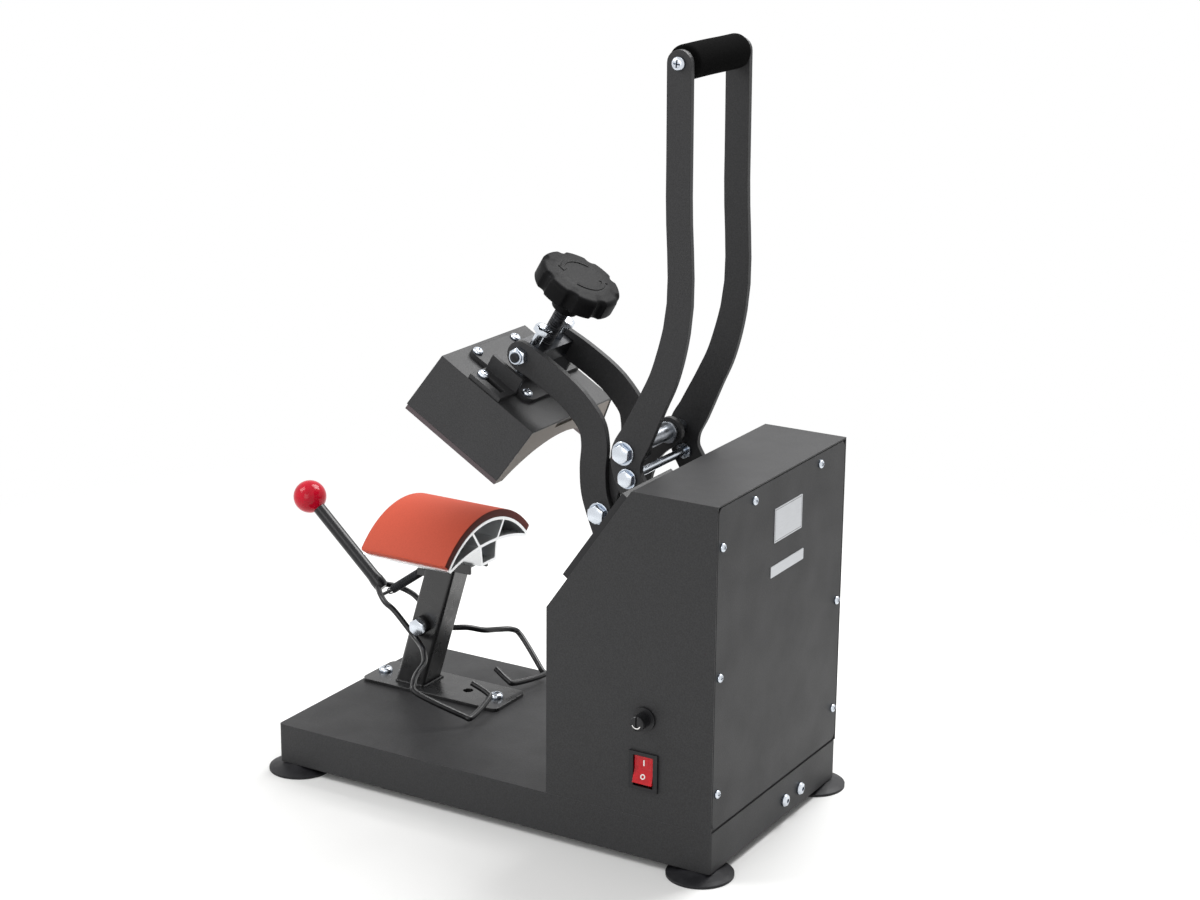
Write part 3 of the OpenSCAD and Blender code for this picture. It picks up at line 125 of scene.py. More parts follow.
class PressDetail(bpy.types.PropertyGroup):
    thread_pitch: length("Thread pitch", "Pitch of the pressure spindle's thread", 1.75 * MM)
    lobes: IntProperty(name="Knob lobes", description="Lobes round the knob", default=8, min=5, max=12)
    knob_width: length("Knob width", "Diameter over the knob's lobes", 70 * MM)
    grip_width: length("Grip width", "Diameter of the foam grip", 27 * MM)
    lever_wire: length("Lever wire", "Diameter of the hold-down lever's wires", 5 * MM)
    lever_rod: length("Lever rod", "Diameter of the hold-down lever's rod", 11.2 * MM)
    coil_wire: length("Coil wire", "Wire of the lever's spring", 1.1 * MM)
    coil_turns: IntProperty(name="Coil turns", description="Turns of the lever's spring",
        default=28, min=16, max=30)
    return_wire: length("Return wire", "Wire of the two return springs", 2.2 * MM)
    return_turns: IntProperty(name="Return turns", description="Turns of a return spring",
        default=26, min=16, max=34)
    weld_width: length("Weld width", "Width of the weld round the post's foot", 4 * MM)


class PressStudio(bpy.types.PropertyGroup):
    floor: tint("Floor", "Plain pale floor", "f2f2f1")
    lens: FloatProperty(name="Lens", description="Focal length in millimetres that matches the photograph",
        default=73.92, min=20, max=200)
    eye: FloatVectorProperty(name="Eye", description="Where the camera stands", size=3,
        default=(1.6158, 1.0344, 0.8474), subtype="TRANSLATION", unit="LENGTH")
    azimuth: FloatProperty(name="Azimuth", description="Angle of the view round the press",
        default=math.radians(120.678), subtype="ANGLE", unit="ROTATION")
    elevation: FloatProperty(name="Elevation", description="Angle of the view above the bench",
        default=math.radians(16.514), subtype="ANGLE", unit="ROTATION")
    roll: FloatProperty(name="Roll", description="Turn of the camera about its own line of sight",
        default=math.radians(0.468), subtype="ANGLE", unit="ROTATION")


def add(tree, kind, inputs=None, **settings):
    """Adds a node with its settings, and gives its inputs values or links."""
    made = tree.nodes.new(kind)
    for key, value in settings.items():
        setattr(made, key, value)
    for key, value in (inputs or {}).items():
        if isinstance(value, bpy.types.NodeSocket):
            tree.links.new(value, made.inputs[key])
        else:
            made.inputs[key].default_value = value
    return made


def surface(name, colour, roughness, metallic=0.0, **even):
    """A new material whose even values stand on the Principled shader's own sockets."""
    made = bpy.data.materials.new(name)
    made.use_nodes = True
    shader = made.node_tree.nodes["Principled BSDF"]
    even = {"Base Color": (*colour, 1), "Roughness": roughness, "Metallic": metallic, **even}
    for socket, value in even.items():
        shader.inputs[socket.replace("_", " ")].default_value = value
    return made, made.node_tree, shader


def grain(tree, size, stretch=(1, 1, 1), detail=2.0):
    """Random grain of a real size in metres, drawn out along an axis by stretch."""
    place = add(tree, "ShaderNodeTexCoord").outputs["Object"]
    spread = add(tree, "ShaderNodeMapping", {"Vector": place, "Scale": stretch}).outputs["Vector"]
    noise = {"Vector": spread, "Scale": 1 / size, "Detail": detail}
    return add(tree, "ShaderNodeTexNoise", noise).outputs["Fac"]


def relief(tree, shader, height, depth, edge):
    """Bump of a height pattern, laid over edges that are rounded off by edge."""
    rounded = add(tree, "ShaderNodeBevel", {"Radius": edge}, samples=6).outputs["Normal"]
    bump = add(tree, "ShaderNodeBump", {"Height": height, "Distance": depth, "Normal": rounded})
    tree.links.new(bump.outputs["Normal"], shader.inputs["Normal"])


def shade(tree, shader, pattern, stops):
    """Colour that follows a pattern through stops of (position, linear colour)."""
    ramp = add(tree, "ShaderNodeValToRGB", {"Fac": pattern})
    marks = ramp.color_ramp.elements
    while len(marks) < len(stops):
        marks.new(0.5)
    for mark, (place, colour) in zip(marks, stops):
        mark.position = place
        mark.color = (*(min(1, c) for c in colour), 1)
    tree.links.new(ramp.outputs["Color"], shader.inputs["Base Color"])


def times(colour, by):
    return tuple(c * by for c in colour)


def gloss(tree, shader, pattern, low, high):
    """Roughness that follows a pattern from low to high."""
    part = add(tree, "ShaderNodeMapRange", {"Value": pattern, "From Min": 0.3, "From Max": 0.7,
        "To Min": low, "To Max": high}).outputs["Result"]
    tree.links.new(part, shader.inputs["Roughness"])


def across(tree, axis):
    """How far a face looks along an axis, from 0 to 1, either way."""
    normal = add(tree, "ShaderNodeNewGeometry").outputs["True Normal"]
    along = add(tree, "ShaderNodeVectorMath", {0: normal, 1: axis}, operation="DOT_PRODUCT")
    return add(tree, "ShaderNodeMath", {0: along.outputs["Value"]}, operation="ABSOLUTE").outputs[0]


def end_faces(tree, pattern, by, axis):
    """A pattern, made fainter, that is lifted towards 1 on the faces that look along an axis."""
    return add(tree, "ShaderNodeMath", {0: pattern, 1: by, 2: across(tree, axis)},
        operation="MULTIPLY_ADD").outputs[0]


def grained(name, colour, roughness, size, dark, light, metallic=0.0, stretch=(1, 1, 1), detail=2.0,
        sheen=None, bump=None, **even):
    """A material whose colour follows a grain from dark to light, each (place, part of the colour).

    Where they are given, its roughness (sheen: low, high) and relief (bump: depth, edge) follow the
    same grain, or one of their own size, which comes last.
    """
    made, tree, shader = surface(name, colour, roughness, metallic, **even)
    pattern = grain(tree, size, stretch, detail)
    shade(tree, shader, pattern, [(place, times(colour, part)) for place, part in (dark, light)])
    for apply, values in ((gloss, sheen), (relief, bump)):
        if values:
            first, second, *own = values
            apply(tree, shader, grain(tree, *own) if own else pattern, first, second)
    return made


def powder_coat():
    """Polyester powder baked on steel: a fine orange peel with a soft sheen, and no edge is sharp."""
    look = bpy.context.scene.press_finish
    # The real peel is about 0.4 mm, drawn coarser so that it shows at the render's size
    return grained("powder_coat", look.powder, 0.46, look.powder_grain, (0.32, 0.84), (0.68, 1.18), detail=3,
        sheen=(0.42, 0.52, 40 * MM), bump=(0.1 * MM, look.sheet_edge), Specular_IOR_Level=0.24)


def zinc_plate():
    """Bright zinc on turned and cold-headed steel: bluish, nearly a mirror, with faint turning marks."""
    look = bpy.context.scene.press_finish
    made, tree, shader = surface("zinc_plate", look.zinc, 0.2, 1.0)
    # Painted shade: the colour turns dark blue-grey where ambient occlusion finds corners and nearby parts,
    # standing in for the dark steel that the plating mirrors there
    painted_corner_shade = add(tree, "ShaderNodeAmbientOcclusion", {"Distance": 3 * MM}, samples=6).outputs["AO"]
    shade(tree, shader, painted_corner_shade,
        [(0.35, linear("39465a")), (0.62, linear("9aa7b9")), (0.85, look.zinc)])
    gloss(tree, shader, grain(tree, 0.9 * MM), 0.13, 0.3)
    relief(tree, shader, grain(tree, 1.6 * MM), 0.02 * MM, 0.25 * MM)
    return made


def ground_steel():
    """Centreless-ground steel bar with light grey oxide: fine rings round its length."""
    return grained("ground_steel", linear("a9adb3"), 0.3, 0.5 * MM, (0.3, 0.75), (0.7, 1.1), 1.0,
        stretch=(1, 0.05, 0.05), sheen=(0.24, 0.42, 6 * MM), bump=(0.01 * MM, 0.2 * MM))


def spring_steel():
    """Drawn and oiled spring wire: dull grey with lines along the wire."""
    return grained("spring_steel", linear("7d8187"), 0.38, 1.2 * MM, (0.3, 0.7), (0.7, 1.15), 1.0,
        sheen=(0.3, 0.5))


def black_oxide():
    """Blackened steel with an oil film: near black, with a tight highlight and greyer worn spots."""
    return grained("black_oxide", linear("202124"), 0.34, 3 * MM, (0.35, 0.7), (0.72, 2.1), 0.55, detail=4,
        sheen=(0.26, 0.46), bump=(0.02 * MM, 0.25 * MM))


def black_enamel():
    """Brushed-on black enamel on bent wire: semi-gloss with slight sags."""
    return grained("black_enamel", linear("141416"), 0.3, 5 * MM, (0.3, 0.8), (0.7, 1.5),
        bump=(0.12 * MM, 0.3 * MM), Specular_IOR_Level=0.3, Coat_Weight=0.12, Coat_Roughness=0.15)


def post_enamel():
    """Stoved black enamel on the post's tube: darker and glossier than the powder coat, faintly wavy."""
    return grained("post_enamel", linear("1b1b1c"), 0.3, 9 * MM, (0.3, 0.8), (0.7, 1.3),
        sheen=(0.24, 0.36), bump=(0.04 * MM, 0.8 * MM), Specular_IOR_Level=0.65)


def mill_aluminium():
    """Extruded aluminium as it leaves the die: bright sawn ends, and darker, streaked faces between them."""
    colour = linear("d5d7da")
    made, tree, shader = surface("mill_aluminium", colour, 0.3, 1.0)
    lines = grain(tree, 0.9 * MM, (1, 0.02, 1), detail=4)
    shade(tree, shader, end_faces(tree, lines, 0.25, Y),
        [(0.06, linear("6d7074")), (0.2, linear("8f9296")), (0.8, times(colour, 0.92)), (1.0, colour)])
    gloss(tree, shader, lines, 0.22, 0.38)
    relief(tree, shader, lines, 0.02 * MM, 0.15 * MM)
    return made


def satin_aluminium():
    """Bare label stock: satin anodised sheet with a short cross grain."""
    return grained("satin_aluminium", linear("c9cbce"), 0.4, 0.5 * MM, (0.3, 0.9), (0.7, 1.06), 1.0,
        stretch=(0.05, 1, 1), sheen=(0.34, 0.48))


def cast_aluminium():
    """Cast aluminium heater: warm grey sawn ends with pores, and long sides darkened by painted shade."""
    look = bpy.context.scene.press_finish
    made, tree, shader = surface("cast_aluminium", look.heater, 0.55, 0.15)
    pores = grain(tree, 1.1 * MM, detail=4)
    # Painted shade: faces that look along X, the long sides, take the darker side colour
    shade(tree, shader, end_faces(tree, pores, 0.16, X), [(0.05, times(look.heater, 0.9)),
        (0.16, times(look.heater, 1.06)), (0.8, times(look.heater_side, 0.9)), (1.0, look.heater_side)])
    relief(tree, shader, pores, 0.05 * MM, 0.3 * MM)
    return made


def silicone_rubber():
    """Moulded silicone sponge: terracotta with a dry, powdery skin, and sawn ends darkened by painted shade.
    """
    look = bpy.context.scene.press_finish
    made, tree, shader = surface("silicone_rubber", look.silicone, 0.66, Specular_IOR_Level=0.25,
        Sheen_Weight=0.3, Sheen_Roughness=0.4, Sheen_Tint=(*look.silicone, 1))
    dust = grain(tree, 1.3 * MM, detail=4)
    # Painted shade: faces that look along Y, the cut ends, take the darker end colour
    shade(tree, shader, end_faces(tree, dust, 0.2, Y), [(0.05, times(look.silicone, 0.92)),
        (0.16, times(look.silicone, 1.06)), (0.75, times(look.silicone_end, 1.1)), (1.0, look.silicone_end)])
    relief(tree, shader, dust, 0.08 * MM, 0.4 * MM)
    return made


def nitrile_foam():
    """Closed-cell nitrile foam: almost black and dry, with a skin of fine pores."""
    look = bpy.context.scene.press_finish
    made, tree, shader = surface("nitrile_foam", look.foam, 0.95, Specular_IOR_Level=0.02)
    place = add(tree, "ShaderNodeTexCoord").outputs["Object"]
    # Real pores are about 0.3 mm, drawn coarser so that they show
    cells = add(tree, "ShaderNodeTexVoronoi", {"Vector": place, "Scale": 1 / (0.9 * MM)})
    pores = cells.outputs["Distance"]
    shade(tree, shader, pores, [(0.1, times(look.foam, 0.6)), (0.6, times(look.foam, 1.5))])
    relief(tree, shader, pores, 0.12 * MM, 0.4 * MM)
    return made


def moulded_rubber():
    """Moulded black rubber: matt, with a light bloom."""
    return grained("moulded_rubber", linear("17171a"), 0.5, 7 * MM, (0.3, 0.8), (0.7, 1.5), detail=4,
        sheen=(0.4, 0.58), bump=(0.04 * MM, 0.4 * MM, 1.2 * MM), Specular_IOR_Level=0.3)


def filled_nylon():
    """Glass-filled nylon from a spark-eroded mould: black with a fine, even sparkle in its sheen."""
    look = bpy.context.scene.press_finish
    # The mould's grain is about 0.2 mm, drawn coarser so that it shows
    return grained("filled_nylon", look.nylon, 0.5, 0.8 * MM, (0.3, 0.8), (0.7, 1.35), detail=3,
        sheen=(0.42, 0.58), bump=(0.05 * MM, 0.5 * MM), Specular_IOR_Level=0.08)


def black_abs():
    """Moulded ABS: black and a little glossier than the nylon, with a faint grain."""
    return grained("black_abs", linear("19191b"), 0.36, 0.7 * MM, (0.3, 0.85), (0.7, 1.25),
        bump=(0.02 * MM, 0.35 * MM), Specular_IOR_Level=0.35)


def red_polycarbonate():
    """Tinted polycarbonate of a lit rocker: deep red that glows a little where it is thin."""
    look = bpy.context.scene.press_finish
    return grained("red_polycarbonate", look.rocker, 0.16, 5 * MM, (0.3, 0.85), (0.7, 1.1),
        bump=(0.02 * MM, 0.5 * MM), IOR=1.58, Subsurface_Weight=0.25, Subsurface_Scale=3 * MM,
        Specular_IOR_Level=0.3)


def phenolic_ball():
    """Turned and buffed phenolic resin: deep red with a wet polish."""
    look = bpy.context.scene.press_finish
    return grained("phenolic_ball", look.ball, 0.14, 9 * MM, (0.3, 0.88), (0.7, 1.1), detail=3,
        Specular_IOR_Level=0.2, Coat_Weight=0.06, Coat_Roughness=0.03)


def display_acrylic():
    """Smoked red acrylic window: nearly black until something behind it is lit."""
    return grained("display_acrylic", linear("2c0a0d"), 0.06, 14 * MM, (0.3, 0.8), (0.7, 1.2),
        Coat_Weight=0.5, Coat_Roughness=0.03)


def display_segments():
    """Unlit segments of a red display, a shade lighter than the window."""
    return grained("display_segments", linear("5c1a1e"), 0.25, 2 * MM, (0.3, 0.9), (0.7, 1.15))


def white_ink():
    """Pad-printed white ink: slightly uneven over the moulding."""
    return grained("white_ink", linear("ebe9e6"), 0.5, 0.6 * MM, (0.25, 0.86), (0.6, 1))


def light_abs():
    """Light grey ABS of the buttons, satin from handling."""
    return grained("light_abs", linear("c9c9c6"), 0.4, 1.2 * MM, (0.3, 0.93), (0.7, 1.04),
        bump=(0.02 * MM, 0.5 * MM, 0.7 * MM))


def solder_resist():
    """Green solder resist over glass cloth: a faint square weave under a lacquer gloss."""
    colour = linear("1d5234")
    made, tree, shader = surface("solder_resist", colour, 0.3, Coat_Weight=0.4)
    place = add(tree, "ShaderNodeTexCoord").outputs["Object"]
    weave = add(tree, "ShaderNodeTexVoronoi", {"Vector": place, "Scale": 1 / MM, "Randomness": 0.15})
    shade(tree, shader, weave.outputs["Distance"], [(0.1, times(colour, 0.8)), (0.6, times(colour, 1.2))])
    return made


def mica_sheet():
    """Pressed mica round the heating element: amber flakes with a pearly gloss."""
    return grained("mica_sheet", linear("8b6a45"), 0.3, 4 * MM, (0.3, 0.6), (0.7, 1.3), detail=4,
        Coat_Weight=0.3)


def glass_wool():
    """Pressed glass-fibre mat, dark with binder: matt with a felted tangle."""
    return grained("glass_wool", linear("23201c"), 0.9, 1.5 * MM, (0.3, 0.6), (0.7, 1.8),
        stretch=(1, 0.3, 1), detail=5, bump=(0.3 * MM, 0.3 * MM), Sheen_Weight=0.3)


def clear_glass():
    """Drawn soda glass tube of the fuse."""
    made, tree, shader = surface("clear_glass", linear("e4ecee"), 0.05, IOR=1.52, Transmission_Weight=0.9)
    relief(tree, shader, grain(tree, 3 * MM), 0.01 * MM, 0.1 * MM)
    return made


def once(maker, kept):
    """What a maker makes, found again by the maker's name after the first time."""
    return kept.get(maker.__name__) or maker()


def finish(maker):
    return once(maker, bpy.data.materials)


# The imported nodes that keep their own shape, under what they are made of
FINISHES = {
    powder_coat: ["base_tray", "box_shell", "back_panel", "upright_bracket",
        "handle_bar_right", "handle_bar_left", "link_right", "link_left", "arm_right", "arm_left",
        "head_carrier", "hood"],
    post_enamel: ["post", "clamp_bracket"],
    zinc_plate: ["foot_studs", "spring_bolts"],
    ground_steel: ["grip_core"],
    black_oxide: ["crosshead"],
    mill_aluminium: ["lower_platen"],
    satin_aluminium: ["blank_plates"],
    cast_aluminium: ["heater_plate"],
    moulded_rubber: ["rubber_feet"],
    black_abs: ["control_panel", "switch_bezel", "fuse_holder", "fuse_cap", "cord_gland"],
    red_polycarbonate: ["switch_rocker"],
    display_acrylic: ["display_window"],
    light_abs: ["button_mode", "button_down", "button_up"],
    solder_resist: ["display_board", "power_board"],
    mica_sheet: ["heating_element"],
    glass_wool: ["insulation"],
    clear_glass: ["glass_fuse"],
}


def middle(node):
    """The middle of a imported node's box."""
    low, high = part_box(node)
    return (low + high) / 2


def shown(name, mesh, maker, body, replaced=(), sharp=40):
    """A finished piece: its mesh, finish, the body that carries it, if any, and the nodes it replaces."""
    if maker:
        mesh.materials.clear()
        mesh.materials.append(finish(maker))
    mesh.shade_smooth()
    mesh.set_sharp_from_angle(angle=math.radians(sharp))
    made = bpy.data.objects.new(name, mesh)
    bpy.context.scene.collection.objects.link(made)
    if body:
        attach(made, body)
    if replaced:
        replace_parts(made, *replaced)
    return made


def modelled(name, shape, maker, body, replaced=(), sharp=40):
    """A finished piece from a closed bmesh."""
    bmesh.ops.recalc_face_normals(shape, faces=shape.faces)
    mesh = bpy.data.meshes.new(name)
    shape.to_mesh(mesh)
    shape.free()
    return shown(name, mesh, maker, body, replaced, sharp)


def facing(direction, first=None):
    """Turns Z to a direction, and X as near as it goes to first."""
    z = Vector(direction).normalized()
    x = Vector(first) if first else (X if abs(z.x) < 0.9 else Y)
    x = (x - z * x.dot(z)).normalized()
    return Matrix((x, z.cross(x), z)).transposed().to_4x4()


def stacked(shape, rings, place, hollow=False):
    """Joins rings of points, each a list in one order, into a skin with ends, or into a hollow ring."""
    rows = [[shape.verts.new(place @ Vector(p)) for p in ring] for ring in rings]
    for low, high in zip(rows, rows[1:] + rows[:1] if hollow else rows[1:]):
        for i in range(len(low)):
            j = (i + 1) % len(low)
            shape.faces.new((low[i], low[j], high[j], high[i]))
    if not hollow:
        shape.faces.new(rows[0][::-1])
        shape.faces.new(rows[-1])


def circle(radius, height, count=48):
    return [(radius * math.cos(math.tau * i / count), radius * math.sin(math.tau * i / count), height)
        for i in range(count)]


def turned(shape, profile, place, count=48):
    """A turned solid from (radius, height) pairs along its axis."""
    stacked(shape, [circle(r, h, count) for r, h in profile], place)


def rod(shape, place, low, high, width, edge=0.3 * MM):
    r = width / 2
    turned(shape, [(r - edge, low), (r, low + edge), (r, high - edge), (r - edge, high)], place)


def hexagon(shape, place, low, high, flats):
    """Hex head or nut whose corners are cut back by a 30 degree chamfer at its far end."""
    crown = flats / 2 * 0.94
    steep = math.tan(math.radians(30))
    def reach(i):
        turn = (math.tau * i / 48) % (math.pi / 3) - math.pi / 6
        return flats / 2 / math.cos(turn)
    def side(level, cut):
        return [(reach(i) * math.cos(math.tau * i / 48), reach(i) * math.sin(math.tau * i / 48),
            level - cut * (reach(i) - crown) * steep) for i in range(48)]
    stacked(shape, [side(low, 0), side(high, 1), circle(crown, high)], place)


def bolt_line(name, maker, body, replaced, centre, parts):
    """Rods, washers and hex heads along X to both sides: (kind, start, end, width) in millimetres."""
    shape = bmesh.new()
    for way in (X, -X):
        place = Matrix.Translation(centre) @ facing(way, Z)
        for kind, start, end, width in parts:
            kind(shape, place, start * MM, end * MM, width * MM)
    return modelled(name, shape, maker, body, replaced)


def socket(tree, name, kind, way="INPUT"):
    return tree.interface.new_socket(name, in_out=way, socket_type="NodeSocket" + kind)


def new_tree(name, *inputs):
    """A geometry tree with a mesh in, named inputs, and a mesh out."""
    tree = bpy.data.node_groups.new(name, "GeometryNodeTree")
    socket(tree, "Mesh", "Geometry")
    for title, kind in inputs:
        socket(tree, title, kind)
    socket(tree, "Mesh", "Geometry", "OUTPUT")
    return tree, add(tree, "NodeGroupInput").outputs


def end_tree(tree, result, material):
    """Ends a tree in Realize Instances and Set Material."""
    real = add(tree, "GeometryNodeRealizeInstances", {"Geometry": result}).outputs["Geometry"]
    painted = add(tree, "GeometryNodeSetMaterial", {"Geometry": real, "Material": material})
    add(tree, "NodeGroupOutput", {"Mesh": painted.outputs["Geometry"]})


def fasteners():
    """Puts one fastener on each point, along its facing, at its width, with a random turn."""
    tree, given = new_tree("fasteners", ("Fastener", "Object"), ("Seed", "Int"), ("Finish", "Material"))
    shape = add(tree, "GeometryNodeObjectInfo", {"Object": given["Fastener"]}).outputs["Geometry"]
    way = add(tree, "GeometryNodeInputNamedAttribute", {"Name": "facing"}, data_type="FLOAT_VECTOR")
    width = add(tree, "GeometryNodeInputNamedAttribute", {"Name": "width"}, data_type="FLOAT")
    upright = add(tree, "FunctionNodeAlignRotationToVector", {"Vector": way.outputs["Attribute"]}, axis="Z")
    angle = add(tree, "FunctionNodeRandomValue", {"Seed": given["Seed"]}, data_type="FLOAT")
    turn = add(tree, "ShaderNodeMath", {0: angle.outputs[1], 1: math.tau}, operation="MULTIPLY").outputs[0]
    spin = add(tree, "FunctionNodeAxisAngleToRotation", {"Axis": Z, "Angle": turn}).outputs["Rotation"]
    placed = add(tree, "FunctionNodeRotateRotation",
        {"Rotation": upright.outputs["Rotation"], "Rotate By": spin}, rotation_space="LOCAL")
    copies = add(tree, "GeometryNodeInstanceOnPoints", {"Points": given["Mesh"], "Instance": shape,
        "Rotation": placed.outputs["Rotation"], "Scale": width.outputs["Attribute"]}).outputs["Instances"]
    end_tree(tree, copies, given["Finish"])
    return tree


def round_bar():
    """Sweeps a round bar of even thickness along a line of points."""
    tree, given = new_tree("round_bar", ("Width", "Float"), ("Sides", "Int"), ("Smooth step", "Float"),
        ("Finish", "Material"))
    line = add(tree, "GeometryNodeMeshToCurve", {"Mesh": given["Mesh"]}).outputs["Curve"]
    bent = add(tree, "GeometryNodeCurveSplineType", {"Curve": line}, spline_type="CATMULL_ROM")
    fine = add(tree, "GeometryNodeSetSplineResolution", {"Geometry": bent.outputs["Curve"], "Resolution": 6})
    even = add(tree, "GeometryNodeResampleCurve", {"Curve": fine.outputs["Geometry"],
        "Length": given["Smooth step"]}, mode="LENGTH")
    radius = add(tree, "ShaderNodeMath", {0: given["Width"], 1: 0.5}, operation="MULTIPLY").outputs[0]
    ring = add(tree, "GeometryNodeCurvePrimitiveCircle", {"Resolution": given["Sides"], "Radius": radius})
    skin = add(tree, "GeometryNodeCurveToMesh", {"Curve": even.outputs["Curve"],
        "Profile Curve": ring.outputs["Curve"], "Fill Caps": True}).outputs["Mesh"]
    end_tree(tree, skin, given["Finish"])
    return tree


def screw_thread():
    """A screw thread: a core with a ridge wound round it, standing on the origin."""
    tree, given = new_tree("screw_thread", ("Width", "Float"), ("Length", "Float"), ("Pitch", "Float"),
        ("Finish", "Material"))
    deep = add(tree, "ShaderNodeMath", {0: given["Pitch"], 1: 0.35}, operation="MULTIPLY").outputs[0]
    half = add(tree, "ShaderNodeMath", {0: given["Width"], 1: 0.5}, operation="MULTIPLY").outputs[0]
    root = add(tree, "ShaderNodeMath", {0: half, 1: deep}, operation="SUBTRACT").outputs[0]
    rounds = add(tree, "ShaderNodeMath", {0: given["Length"], 1: given["Pitch"]},
        operation="DIVIDE").outputs[0]
    wound = add(tree, "GeometryNodeCurveSpiral", {"Resolution": 28, "Rotations": rounds,
        "Start Radius": root, "End Radius": root, "Height": given["Length"]}).outputs["Curve"]
    tooth = add(tree, "GeometryNodeCurvePrimitiveCircle", {"Resolution": 4, "Radius": deep})
    ridge = add(tree, "GeometryNodeCurveToMesh", {"Curve": wound, "Profile Curve": tooth.outputs["Curve"],
        "Fill Caps": True})
    core = add(tree, "GeometryNodeMeshCylinder", {"Vertices": 40, "Radius": root, "Depth": given["Length"]})
    half_way = add(tree, "ShaderNodeMath", {0: given["Length"], 1: 0.5},
        operation="MULTIPLY").outputs[0]
    lift = add(tree, "ShaderNodeCombineXYZ", {"Z": half_way}).outputs["Vector"]
    stood = add(tree, "GeometryNodeTransform", {"Geometry": core.outputs["Mesh"], "Translation": lift})
    both = add(tree, "GeometryNodeJoinGeometry", {"Geometry": ridge.outputs["Mesh"]})
    tree.links.new(stood.outputs["Geometry"], both.inputs["Geometry"])
    end_tree(tree, both.outputs["Geometry"], given["Finish"])
    return tree


def grown(maker, points, values, chains=False, widths=None, facings=None, place=None):
    """The plain mesh that a geometry tree makes from points, joined in chains where they are a line."""
    base = bpy.data.meshes.new("seed")
    links = [(i, i + 1) for i in range(len(points) - 1)] if chains else []
    base.from_pydata([tuple(p) for p in points], links, [])
    if widths:
        base.attributes.new("width", "FLOAT", "POINT").data.foreach_set("value", widths)
        flat = [c for way in facings for c in way]
        base.attributes.new("facing", "FLOAT_VECTOR", "POINT").data.foreach_set("vector", flat)
    carrier = bpy.data.objects.new("seed", base)
    bpy.context.scene.collection.objects.link(carrier)
    tree = once(maker, bpy.data.node_groups)
    modifier = carrier.modifiers.new("grow", "NODES")
    modifier.node_group = tree
    keys = {item.name: item.identifier for item in tree.interface.items_tree if item.in_out == "INPUT"}
    for title, value in values.items():
        modifier[keys[title]] = value
    evaluated = carrier.evaluated_get(bpy.context.evaluated_depsgraph_get())
    mesh = bpy.data.meshes.new_from_object(evaluated)
    bpy.data.objects.remove(carrier)
    bpy.data.meshes.remove(base)
    if place:
        mesh.transform(place)
    return mesh


def bar_along(name, points, width, maker, body, replaced=(), sides=16, step=0.8 * MM):
    """A round bar swept along points."""
    mesh = grown(round_bar, points, {"Width": width, "Sides": sides, "Smooth step": step,
        "Finish": finish(maker)}, chains=True)
    return shown(name, mesh, None, body, replaced)


def joined(name, pieces):
    """One piece from several that ride on the same body."""
    first, rest = pieces[0], pieces[1:]
    shape = bmesh.new()
    for piece in pieces:
        shape.from_mesh(piece.data)
    shape.to_mesh(first.data)
    shape.free()
    for piece in rest:
        bpy.data.objects.remove(piece)
    first.name = name
    first.data.name = name
    return first


def pan_head():
    """A pan head with a cross recess and a short shank, one unit wide, its seat on the origin."""
    shape = bmesh.new()
    crown = [(0.5 - 0.3 * (1 - math.cos(a)), 0.1 + 0.24 * math.sin(a)) for a in (0.3, 0.6, 0.9, 1.2, 1.5)]
    dome = [(0.5, 0.0), (0.5, 0.1), *crown, (0.24, 0.355), (0.1, 0.36)]
    turned(shape, [(0.22, -0.9), (0.25, -0.85), (0.25, -0.001), *dome], Matrix())
    head = bpy.data.meshes.new("pan_head")
    bmesh.ops.recalc_face_normals(shape, faces=shape.faces)
    shape.to_mesh(head)
    shape.free()
    cross = bmesh.new()
    for turn in (0, math.pi / 2):
        wing = Matrix.Rotation(turn, 4, "Z")
        rings = [[(x * long, y * wide, z) for x, y in SQUARE]
            for z, long, wide in ((0.14, 0.05, 0.03), (0.3, 0.26, 0.05), (0.5, 0.3, 0.055))]
        stacked(cross, rings, wing)
    bmesh.ops.recalc_face_normals(cross, faces=cross.faces)
    cutter = bpy.data.meshes.new("cross")
    cross.to_mesh(cutter)
    cross.free()
    base = bpy.data.objects.new("pan_head", head)
    tool = bpy.data.objects.new("cross", cutter)
    for made in (base, tool):
        bpy.context.scene.collection.objects.link(made)
    cut = base.modifiers.new("cut", "BOOLEAN")
    cut.object, cut.operation, cut.solver, cut.use_self = tool, "DIFFERENCE", "EXACT", True
    evaluated = base.evaluated_get(bpy.context.evaluated_depsgraph_get())
    mesh = bpy.data.meshes.new_from_object(evaluated)
    mesh.shade_smooth()
    mesh.set_sharp_from_angle(angle=math.radians(30))
    bpy.data.objects.remove(tool)
    base.modifiers.clear()
    base.data = mesh
    return base


def head_place(x, rear, up):
    """A point of the head, in millimetres from its pivot."""
    return HEAD_PIVOT + X * (x * MM) + HEAD_REAR * (rear * MM) + HEAD_UP * (up * MM)


class PRESS_OT_finishes(bpy.types.Operator):
    """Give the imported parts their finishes"""
    bl_idname = "press.finishes"
    bl_label = "Finishes"

    def execute(self, context):
        for maker, nodes in FINISHES.items():
            for node in nodes:
                mesh = frame["nodes"][node].data
                mesh.materials.clear()
                mesh.materials.append(finish(maker))
        return {"FINISHED"}


